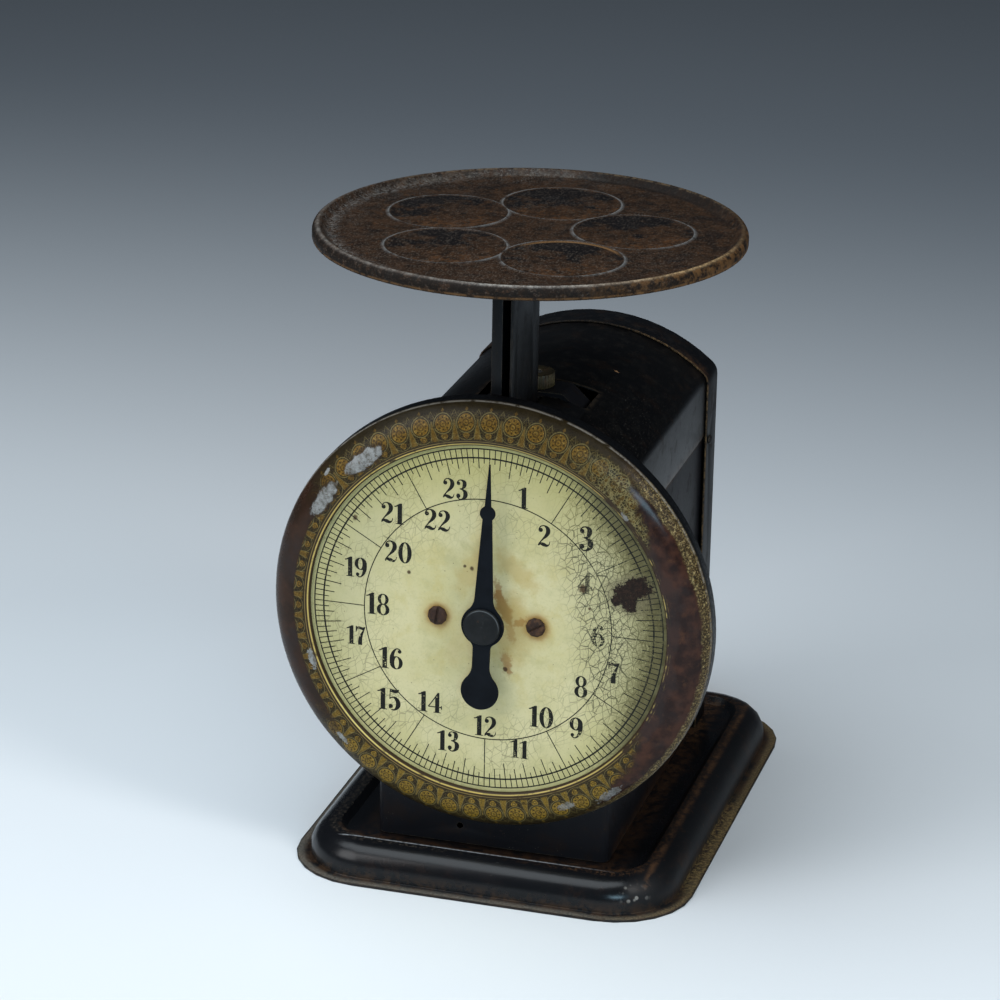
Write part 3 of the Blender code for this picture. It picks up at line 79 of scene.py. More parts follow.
# Node trees
class Wire:
    """A number in a node tree, for use in sums and products."""

    def __init__(self, graph, socket):
        self.graph = graph
        self.socket = socket

    def __add__(self, other):
        return self.graph.math("ADD", self, other)

    def __sub__(self, other):
        return self.graph.math("SUBTRACT", self, other)

    def __rsub__(self, other):
        return self.graph.math("SUBTRACT", other, self)

    def __mul__(self, other):
        return self.graph.math("MULTIPLY", self, other)

    def __truediv__(self, other):
        return self.graph.math("DIVIDE", self, other)

    def __abs__(self):
        return self.graph.math("ABSOLUTE", self)

    __radd__ = __add__
    __rmul__ = __mul__


class Graph:
    """The node tree of a new material or world, written as expressions in millimetres."""

    def __init__(self, name, kind="materials"):
        self.owner = getattr(bpy.data, kind).new(name)
        self.owner.use_nodes = True
        self.tree = self.owner.node_tree
        self.colour = None
        self.coordinates = self.node("TexCoord").outputs
        scaled = self.node("VectorMath", self.coordinates["Object"], operation="SCALE")
        self.put(1 / MM, scaled.inputs["Scale"])
        self.place = scaled.outputs[0]
        self.x, self.y, self.z = self.split(self.place)

    def node(self, kind, *values, **settings):
        """A shader node with its properties set and its first sockets filled."""
        made = self.tree.nodes.new("ShaderNode" + kind)
        for name, setting in settings.items():
            setattr(made, name, setting)
        for value, socket in zip(values, made.inputs):
            self.put(value, socket)
        return made

    def put(self, value, socket):
        """Links a wire or another socket to a socket, or sets its number, vector or colour."""
        if isinstance(value, Wire):
            value = value.socket
        if isinstance(value, bpy.types.NodeSocket):
            self.tree.links.new(value, socket)
        elif hasattr(socket.default_value, "__len__") and len(value) == 3 and len(socket.default_value) == 4:
            socket.default_value = (*value, 1.0)
        else:
            socket.default_value = value

    def split(self, vector):
        return [Wire(self, out) for out in self.node("SeparateXYZ", vector).outputs]

    def vector(self, x, y, z):
        return self.node("CombineXYZ", x, y, z).outputs[0]

    def math(self, operation, *values, clamp=False):
        return Wire(self, self.node("Math", *values, operation=operation, use_clamp=clamp).outputs[0])

    def clamp(self, value):
        return self.math("ADD", value, 0.0, clamp=True)

    def sine(self, turn):
        return self.math("SINE", turn)

    def cosine(self, turn):
        return self.math("COSINE", turn)

    def length(self, a, b):
        return self.math("SQRT", a * a + b * b)

    def smooth(self, value, start, end):
        """0 before start and 1 after end, with a soft step between."""
        rises = start < end
        node = self.node("MapRange", value, min(start, end), max(start, end), float(not rises), float(rises),
                         interpolation_type="SMOOTHSTEP")
        return Wire(self, node.outputs["Result"])

    def within(self, value, centre, half, soft):
        """1 where value is within half of centre, with soft ends."""
        return self.smooth(abs(value - centre), half + soft, half - soft)

    def pattern_place(self, size, seed, stretch, place):
        """The place in units of a pattern's size, shifted by its seed."""
        node = self.node("Mapping", place or self.place, (seed * 3.7, seed * 5.3, seed * 7.1))
        self.put([share / size for share in stretch], node.inputs["Scale"])
        return node.outputs[0]

    def noise(self, size, detail=3.0, rough=0.55, seed=0.0, stretch=(1, 1, 1)):
        """Noise from 0 to 1 whose features are about size millimetres."""
        node = self.node("TexNoise", self.pattern_place(size, seed, stretch, None))
        for name, value in (("Scale", 1.0), ("Detail", detail), ("Roughness", rough)):
            self.put(value, node.inputs[name])
        return Wire(self, node.outputs["Fac"])

    def patches(self, size, detail, rough, seed, start, end, stretch=(1, 1, 1)):
        """Noise as patches: 0 where it is below start and 1 where it is above end."""
        return self.smooth(self.noise(size, detail, rough, seed, stretch), start, end)

    def cells(self, size, feature="F1", seed=0.0, place=None, stretch=(1, 1, 1), flat=False):
        """The distance to the nearest point, or edge, of random cells of about that size."""
        node = self.node("TexVoronoi", self.pattern_place(size, seed, stretch, place), feature=feature,
                         voronoi_dimensions="2D" if flat else "3D")
        self.put(1.0, node.inputs["Scale"])
        return Wire(self, node.outputs["Distance"])

    def mix(self, share, first, second):
        """A colour between two others."""
        node = self.node("Mix", share, data_type="RGBA")
        self.put(first, node.inputs[6])
        self.put(second, node.inputs[7])
        return node.outputs[2]

    def lay(self, share, colour):
        """Lays a colour over the material's colour so far."""
        self.colour = self.mix(share, self.colour, colour)

    def edge(self, radius):
        """1 on edges that a finger would round off, from the bevel node's normal."""
        bevel = self.node("Bevel", radius * MM, samples=4)
        plain = self.node("NewGeometry").outputs["Normal"]
        dot = self.node("VectorMath", bevel.outputs[0], plain, operation="DOT_PRODUCT")
        return self.smooth(1.0 - Wire(self, dot.outputs["Value"]), 0.02, 0.14)

    def up(self):
        """How far the surface faces up, from -1 to 1."""
        return self.split(self.node("NewGeometry").outputs["True Normal"])[2]

    def finish(self, rough, metal=0.0, bump=None, depth=0.1, specular=0.5):
        """The material, with its colour so far and the rest on its shader."""
        shader = self.tree.nodes["Principled BSDF"].inputs
        for name, value in (("Base Color", self.colour), ("Roughness", rough), ("Metallic", metal),
                            ("Specular IOR Level", specular)):
            self.put(value, shader[name])
        if bump is not None:
            node = self.node("Bump", 1.0, depth * MM)
            self.put(bump, node.inputs["Height"])
            self.put(node.outputs[0], shader["Normal"])
        return self.owner


# Materials
BLACK = (0.0036, 0.0039, 0.0048)
BROWN = (0.020, 0.0105, 0.006)


def japan(name, black, wear, rust=0.35, rough=0.24, shine=0.22, marks=None):
    """Old black japanned sheet: gloss that has gone soft, fine scratches, dust and brown worn edges."""
    g = Graph(name)
    broad = g.noise(26, 3, seed=1.0)
    fine = g.noise(1.3, 4, seed=2.0)
    streak = g.noise(1.1, 2, seed=3.0, stretch=(1, 1, 0.08))
    blotch = g.patches(9, 4, 0.65, 4.0, 0.52, 0.70)
    specks = g.smooth(g.cells(1.7, seed=5.0), 0.16, 0.05) * g.patches(7, 2, 0.55, 6.0, 0.42, 0.62)
    light_specks = g.smooth(g.cells(2.3, seed=9.0), 0.085, 0.03) * g.patches(11, 3, 0.55, 10.0, 0.46, 0.60)
    worn = g.clamp(g.edge(0.5) * g.patches(3.2, 4, 0.7, 7.0, 0.36, 0.62) * wear)
    dust = g.smooth(g.up(), 0.35, 1.0) * g.patches(5, 4, 0.7, 8.0, 0.46, 0.75) * 0.04
    g.colour = g.mix(broad, black, [c * 1.7 for c in black])
    g.lay(blotch * rust, BROWN)
    g.lay(specks * 0.55, (0.075, 0.045, 0.026))
    g.lay(light_specks * 0.6, (0.16, 0.145, 0.12))
    g.lay(worn, (0.11, 0.085, 0.055))
    g.lay(dust, (0.22, 0.20, 0.17))
    if marks:
        marks(g)
    roughness = rough + 0.16 * broad + 0.10 * fine + worn * 0.22 + blotch * 0.12
    height = fine * 0.5 + streak * 0.25 + blotch * 0.3 - specks * 0.8 - worn * 0.6
    return g.finish(roughness, bump=height, depth=0.035, specular=shine)


def hood_marks(g):
    """Rubbed folds, a rust-brown seam, and scratches and specks towards the roof's right fold."""
    rub = g.noise(2.4, 5, 0.75, seed=101.0)
    fold = g.within(g.x, 47.0, 1.6, 0.8) * g.smooth(g.z, 171.0, 176.0) * g.smooth(g.y, 20.0, 60.0)
    g.lay(fold * g.smooth(rub, 0.36, 0.58) * 0.75, (0.150, 0.082, 0.044))
    seam = g.smooth(g.z, 144.5, 141.4) * g.smooth(rub, 0.40, 0.60)
    g.lay(seam * 0.6, (0.085, 0.046, 0.022))
    fine = g.patches(0.55, 3, 0.8, 102.0, 0.60, 0.70, (1.0, 0.35, 1.0))
    near_fold = g.smooth(g.x, 12.0, 34.0) * g.smooth(g.y, 36.0, 0.0) * g.smooth(g.up(), 0.3, 0.8)
    g.lay(fine * near_fold * 0.5, (0.15, 0.14, 0.125))
    lip = g.within(abs(g.x), 22.6, 0.9, 0.8) * g.within(g.y, -17.0, 11.0, 1.5)
    back_lip = g.within(g.y, -6.3, 0.6, 0.6) * g.within(g.x, 0.0, 22.5, 1.0)
    lips = g.clamp(lip + back_lip) * g.smooth(rub, 0.36, 0.58) * g.smooth(g.up(), 0.3, 0.8)
    g.lay(lips * 0.65, (0.060, 0.044, 0.030))
    chip = g.smooth(abs(g.x - 22.0) + abs(g.y - 20.6) * 1.6, 1.5, 1.0) * g.smooth(g.up(), 0.3, 0.8)
    g.lay(chip * 0.9, (0.42, 0.24, 0.12))


def cap_marks(g):
    """A brown and gold worn line along the flange's front edge, and rust at its foot."""
    rub = g.noise(2.6, 4, 0.75, seed=103.0)
    front_edge = g.within(g.y, 67.9, 0.45, 0.4) * g.smooth(rub, 0.34, 0.54)
    golden = g.mix(g.smooth(g.x, 5.0, 35.0), (0.026, 0.018, 0.012), (0.150, 0.092, 0.042))
    dotted = g.patches(1.4, 4, 0.8, 107.0, 0.40, 0.56)
    g.lay(front_edge * dotted * 0.9, golden)
    wide_rub = g.noise(11.0, 4, 0.7, seed=108.0)
    behind = g.smooth(g.y, 82.6, 83.8)
    low = g.smooth(g.z + (wide_rub - 0.5) * 60.0, 62.0, 14.0) * g.smooth(rub, 0.36, 0.60)
    g.lay(low * behind * 0.75, (0.060, 0.030, 0.016))
    rust_dots = g.smooth(g.cells(5.5, seed=110.0), 0.20, 0.08) * g.patches(18, 2, 0.55, 111.0, 0.42, 0.56)
    g.lay(rust_dots * behind * 0.8, (0.115, 0.054, 0.026))
    scratch = g.patches(0.9, 3, 0.8, 109.0, 0.63, 0.73, (1.0, 1.0, 0.14)) * g.smooth(wide_rub, 0.44, 0.60)
    g.lay(scratch * behind * 0.55, (0.120, 0.108, 0.092))
    corner = g.smooth(abs(g.x) + g.z, 208.0, 222.0) * g.smooth(rub, 0.42, 0.58) * g.smooth(g.y, 76.0, 68.5)
    g.lay(corner * 0.55, (0.120, 0.055, 0.024))


def case_marks(g):
    """Rust-brown along the foot of the sides and the seam under the hood."""
    rub = g.noise(2.2, 5, 0.75, seed=104.0)
    wide_rub = g.noise(9.0, 3, 0.6, seed=106.0)
    on_case = g.smooth(abs(g.x), 47.7, 47.2)
    foot = g.smooth(g.z + wide_rub * 7.0, 21.5, 14.5) * g.smooth(rub, 0.36, 0.60)
    g.lay(foot * g.smooth(g.y, -66.0, -60.0) * on_case * 0.55, (0.088, 0.040, 0.018))
    side = g.smooth(abs(g.x), 46.2, 46.7) * on_case
    scratch = g.patches(0.9, 3, 0.8, 112.0, 0.64, 0.74, (1.0, 0.16, 1.0)) * g.smooth(wide_rub, 0.46, 0.60)
    g.lay(scratch * side * 0.50, (0.110, 0.098, 0.084))
    seam = g.within(g.z, 139.5, 0.8, 1.0) * g.smooth(rub, 0.40, 0.60) * g.smooth(wide_rub, 0.36, 0.56)
    g.lay(seam * on_case * 0.6, (0.085, 0.044, 0.021))


case_black = japan("case_black_japan", (0.0068, 0.0067, 0.0082), 0.9, rough=0.30, shine=0.10,
                   marks=case_marks)
cap_black = japan("cap_black_japan", BLACK, 0.8, rough=0.30, shine=0.07, marks=cap_marks)
hood_black = japan("hood_black_japan", (0.0024, 0.0024, 0.0027), 0.7, marks=hood_marks)
post_black = japan("post_black_japan", (0.0046, 0.0048, 0.0054), 0.5, rust=0.2, shine=0.16)


# The base's outline, in millimetres
BASE_HALF_WIDTH = 80.15
BASE_HALF_DEPTH = 106.65
BASE_MIDDLE = 8.275
BASE_CORNER = 31.8


def pan_finish():
    """The base: black inside and on the roll, worn brown ridges and a rubbed flange."""
    g = Graph("base_black_japan")
    broad = g.noise(24, 3, seed=11.0)
    fine = g.noise(1.2, 4, seed=12.0)
    patchy = g.noise(4.5, 4, 0.7, seed=13.0)
    rub = g.noise(1.6, 4, 0.75, seed=14.0)
    large = g.noise(14, 3, 0.6, seed=18.0)
    right = g.smooth(g.x + g.y * 0.15, 20.0, 70.0)
    g.colour = g.mix(broad, BLACK, (0.0062, 0.0067, 0.0082))
    warm = g.smooth(large, 0.50, 0.68) * g.smooth(g.z, 13.6, 8.0) * (0.35 + right * 0.5)
    g.lay(warm * g.smooth(patchy, 0.36, 0.58) * 0.7, (0.026, 0.0125, 0.0075))
    browned = g.smooth(g.z, 6.5, 1.2) * g.smooth(patchy, 0.40, 0.60)
    g.lay(browned * 0.75, (0.040, 0.022, 0.012))
    side_in = g.math("MAXIMUM", abs(g.x) - (BASE_HALF_WIDTH - BASE_CORNER), 0.0)
    end_in = g.math("MAXIMUM", abs(g.y - BASE_MIDDLE) - (BASE_HALF_DEPTH - BASE_CORNER), 0.0)
    from_edge = BASE_CORNER - g.length(side_in, end_in)
    outward = g.smooth(from_edge, 4.9, 1.4) * g.smooth(from_edge, 0.15, 0.75)
    low = g.smooth(g.z, 3.6, 1.6) * outward * g.smooth(large * 0.5 + rub * 0.5 + outward * 0.10, 0.38, 0.56)
    tan = g.mix(right, (0.150, 0.136, 0.112), (0.165, 0.118, 0.056))
    grains = g.patches(0.9, 4, 0.85, 20.0, 0.40, 0.62)
    g.lay(low * (0.22 + grains * 0.66), tan)
    golden = g.smooth(g.z, 3.2, 1.0) * g.within(g.y, -20.0, 42.0, 14.0) * g.smooth(g.x, 66.0, 72.0)
    g.lay(golden * g.smooth(rub, 0.46, 0.60) * 0.7, (0.230, 0.160, 0.062))
    rim_dark = g.clamp(g.smooth(g.z, 0.45, 0.15) + g.smooth(from_edge, 0.45, 0.10))
    g.lay(rim_dark * 0.8, (0.0062, 0.0052, 0.0046))
    crest = g.smooth(g.z, 13.25, 13.65)
    ridge = crest * g.smooth(g.x, -10.0, 60.0) * g.smooth(rub, 0.44, 0.64)
    g.lay(ridge * 0.60, (0.075, 0.038, 0.018))
    inner_ridge = g.within(g.x, 65.5, 0.9, 1.2) * g.patches(5.0, 4, 0.75, 20.5, 0.42, 0.60)
    g.lay(inner_ridge * g.smooth(g.z, 8.0, 11.0) * 0.65, (0.100, 0.050, 0.024))
    ridge_left = crest * g.smooth(g.x, 10.0, -40.0) * g.smooth(rub, 0.46, 0.66)
    g.lay(ridge_left * 0.45, (0.085, 0.068, 0.050))
    beside = g.smooth(abs(g.x), 57.0, 50.5) * (0.25 + right * 0.75)
    sunk = g.smooth(from_edge, 15.6, 17.2) * g.clamp(beside + g.smooth(g.y, -71.0, -75.0) * 0.7)
    g.lay(sunk * g.smooth(patchy * 0.6 + rub * 0.4, 0.42, 0.58) * 0.75, (0.058, 0.029, 0.014))
    edge = g.edge(0.5) * g.smooth(patchy, 0.42, 0.60)
    g.lay(edge * 0.6, (0.12, 0.082, 0.050))
    # Painted highlight: a pale silver line along the front of the crest, broken up by rub noise.
    bright = (crest * g.within(g.y, -82.3, 0.30, 0.30)
              * g.smooth(g.x, -66.0, -56.0) * g.smooth(g.x, 58.0, 20.0))
    g.lay(bright * (0.25 + g.smooth(rub, 0.36, 0.56) * 0.6), (0.330, 0.350, 0.370))
    scuffs = g.patches(2.2, 5, 0.8, 15.0, 0.60, 0.68) * right
    g.lay(scuffs * 0.40, (0.095, 0.045, 0.020))
    scratch = g.patches(0.8, 3, 0.8, 19.0, 0.66, 0.74, (0.16, 1.0, 1.0)) * g.smooth(broad, 0.40, 0.60)
    g.lay(scratch * 0.35, (0.130, 0.120, 0.105))
    corner = g.smooth(g.cells(2.4, seed=16.0), 0.42, 0.22)
    silver = corner * g.within(g.x, 64.0, 5.5, 2.5) * g.within(g.y, -89.0, 3.5, 2.5) * g.smooth(g.z, 4.0, 7.0)
    g.lay(silver * 0.6, (0.34, 0.32, 0.29))
    worn = g.clamp(low + golden * 0.5)
    height = fine * 0.4 + patchy * 0.6 - worn * 0.5 - edge * 0.5 + large * 1.2
    roughness = 0.15 + broad * 0.10 + fine * 0.06 + worn * 0.35 + g.smooth(g.x, 56.0, 66.0) * 0.30
    return g.finish(roughness, bump=height, depth=0.035, specular=0.26)


def platform_finish():
    """The platform: brown japan gone blotchy, black in the circles, silvery on the rings, and a rim crest
    that is partly worn and partly a painted highlight.
    """
    g = Graph("platform_brown_japan")
    across = g.x
    deep = g.y - POST_Y / MM
    radius = g.length(across, deep)
    turn = g.math("ARCTAN2", deep, across) - RING_FIRST
    local = g.math("WRAP", turn, FIFTH / 2, -FIFTH / 2)
    ring_r = g.length(radius * g.cosine(local) - RING_PLACE / MM, radius * g.sine(local))
    facing = turn - local + RING_FIRST
    centre_x = g.cosine(facing) * (RING_PLACE / MM)
    centre_y = g.sine(facing) * (RING_PLACE / MM)
    ux = across - centre_x
    uy = deep - centre_y
    mottle = g.noise(4.6, 5, 0.80, seed=21.0)
    broad = g.noise(30, 3, seed=22.0)
    fine = g.noise(0.9, 4, 0.7, seed=23.0)
    g.colour = g.mix(g.smooth(mottle, 0.36, 0.62), (0.0100, 0.0058, 0.0036), (0.0300, 0.0148, 0.0074))
    inside = g.smooth(ring_r, 22.8, 21.8)
    lean = (uy * 0.9 - ux * 0.4) * 0.009
    black = g.smooth(g.noise(12, 4, 0.65, seed=24.0) + lean * inside + deep * 0.0006, 0.50, 0.62)
    g.lay(g.clamp(black * (0.45 + inside * 0.45)), (0.0036, 0.0037, 0.0044))
    orange = g.smooth(g.noise(4.4, 5, 0.8, seed=25.0) - lean * inside * 0.8, 0.56, 0.72)
    g.lay(orange * 0.55, (0.080, 0.034, 0.012))
    powder = g.clamp(g.smooth(radius, 56.0, 76.0) * g.smooth(deep * 0.7 - across, 10.0, 80.0) * 0.8
                     + g.patches(15, 3, 0.6, 30.0, 0.46, 0.70) * 0.45)
    grains = g.patches(0.75, 3, 0.7, 31.5, 0.50, 0.68) * g.patches(3.6, 4, 0.7, 32.5, 0.38, 0.62)
    g.lay(g.clamp(grains * powder * 0.75), (0.150, 0.140, 0.130))
    grit = g.patches(0.85, 3, 0.80, 35.5, 0.52, 0.62, (1.0, 0.5, 1.0))
    g.lay(grit * (0.22 + g.smooth(deep, 10.0, -60.0) * 0.18), (0.115, 0.092, 0.072))
    pits = g.smooth(g.cells(1.4, seed=26.0), 0.24, 0.08) * g.patches(9, 3, 0.55, 27.0, 0.38, 0.60)
    g.lay(pits * 0.85, (0.003, 0.003, 0.003))
    crease = g.within(radius, 75.4, 1.2, 3.2) * g.smooth(across + deep * 0.25, -8.0, -52.0)
    crease_wear = g.patches(1.5, 4, 0.8, 36.5, 0.46, 0.60)
    g.lay(crease * crease_wear * 0.62, (0.190, 0.185, 0.175))
    ends = g.smooth(abs(ux), 8.0, 21.0)
    uneven = g.smooth(g.noise(5.0, 4, 0.75, seed=28.0) + ends * 0.10, 0.40, 0.64)
    ring = g.clamp(g.within(ring_r, 23.1, 0.12, 0.45) * (0.25 + uneven * 0.75)
                   + g.within(ring_r, 23.5, 0.50, 0.60) * ends * uneven * 0.45)
    g.lay(ring * 0.62, (0.190, 0.195, 0.195))
    front_ring = g.within(centre_x, 21.5, 3.0, 2.0) * g.within(centre_y, -32.6, 3.0, 2.0)
    crescent = front_ring * g.smooth(uy, 8.0, 19.0) * g.within(ring_r, 22.0, 0.45, 0.5)
    g.lay(crescent * 0.6, (0.20, 0.105, 0.040))
    rubbed = g.patches(2.6, 5, 0.8, 29.0, 0.42, 0.62)
    back_band = g.within(radius, 77.3, 0.8, 1.6) * g.smooth(deep * 0.9 - across * 0.35, 30.0, 72.0)
    g.lay(back_band * g.smooth(across, 28.0, -12.0) * rubbed * 0.55, (0.105, 0.096, 0.082))
    # Painted shade: darkens the rim's inner slope at the back right, which is also made rougher.
    back_rim_shade = g.smooth(radius, 74.0, 76.0) * g.smooth(deep, 30.0, 55.0) * g.smooth(across, -10.0, 12.0)
    g.lay(back_rim_shade * 0.7, (0.0048, 0.0036, 0.0030))
    back_line = g.within(radius, 79.6, 0.3, 0.5) * g.smooth(deep, 30.0, 70.0) * g.smooth(rubbed, 0.2, 0.8)
    g.lay(back_line * 0.5, (0.160, 0.110, 0.060))
    front_side = g.smooth(deep, 20.0, -40.0)
    wall = g.smooth(radius, 80.9, 81.7) * g.smooth(rubbed, 0.9, 0.4)
    g.lay(wall * 0.85, (0.0056, 0.0038, 0.0028))
    right = g.smooth(across + deep * 0.35, 0.0, 60.0)
    # The rim's crest line is partly rubbed wear and partly a painted highlight: silver at the left, gold at
    # the right, strongest along the front.
    crest_wear_and_highlight_colour = g.mix(right, (0.350, 0.330, 0.300), (0.420, 0.280, 0.140))
    front_left = g.smooth(across + deep * 0.9, -60.0, -95.0)
    crest = (g.within(radius, 80.55, 0.55, 0.85) * (0.30 + rubbed * 0.70) * (0.14 + front_side * 0.76)
             * (1.0 - front_left * 0.55))
    g.lay(g.clamp(crest), crest_wear_and_highlight_colour)
    bronze = g.smooth(radius, 80.8, 81.8) * right * g.patches(4.5, 4, 0.7, 33.5, 0.42, 0.60)
    g.lay(bronze * 0.60, (0.150, 0.074, 0.026))
    foot = g.smooth(radius, 81.8, 82.3) * g.within(g.z, 249.7, 0.35, 0.35)
    g.lay(foot * g.patches(3.0, 4, 0.7, 34.5, 0.34, 0.56) * 0.55, (0.170, 0.085, 0.032))
    roughness = (0.32 + mottle * 0.20 + fine * 0.12 - black * 0.10 - ring * 0.08
                 + g.smooth(radius, 80.9, 81.7) * 0.25 + back_rim_shade * 0.35)
    height = mottle * 0.4 + fine * 0.35 + grains * powder * 0.3 - pits * 1.0 + broad * 0.3
    return g.finish(roughness, bump=height, depth=0.06, specular=0.13)


def dial_polar(g):
    """Across, up, radius and clockwise turn from the top, round the dial's centre."""
    up = g.z - DIAL_Z / MM
    return g.x, up, g.length(g.x, up), g.math("ARCTAN2", g.x, up)


def spot(g, x, z, half, soft, seed, ragged):
    """A ragged round spot on the front."""
    wobble = (g.noise(2.2, 4, 0.7, seed=seed) - 0.5) * (2 * ragged)
    return g.smooth(g.length(g.x - x, g.z - z) + wobble, half + soft, half - soft)


def blot(g, x, z, long, wide, lean, seed, ragged, soft=0.12):
    """A ragged oval on the front, leaning anticlockwise by that many degrees."""
    c, s = math.cos(math.radians(lean)), math.sin(math.radians(lean))
    dx = g.x - x
    dz = g.z - z
    away = g.length((dx * c + dz * s) / long, (dz * c - dx * s) / wide)
    coarse = (g.noise(wide * 0.9, 2, 0.5, seed=seed) - 0.5) * (2.4 * ragged)
    crumbs = (g.noise(0.8, 3, 0.7, seed=seed + 0.5) - 0.5) * (1.2 * ragged)
    return g.smooth(away + coarse + crumbs, 1.0 + soft, 1.0 - soft)


def gathered(g, shape, *rows):
    """Spots or blots together, from 0 to 1: each row is a share and the shape's own numbers."""
    total = 0.0
    for share, *row in rows:
        total = shape(g, *row) * share + total
    return g.clamp(total)


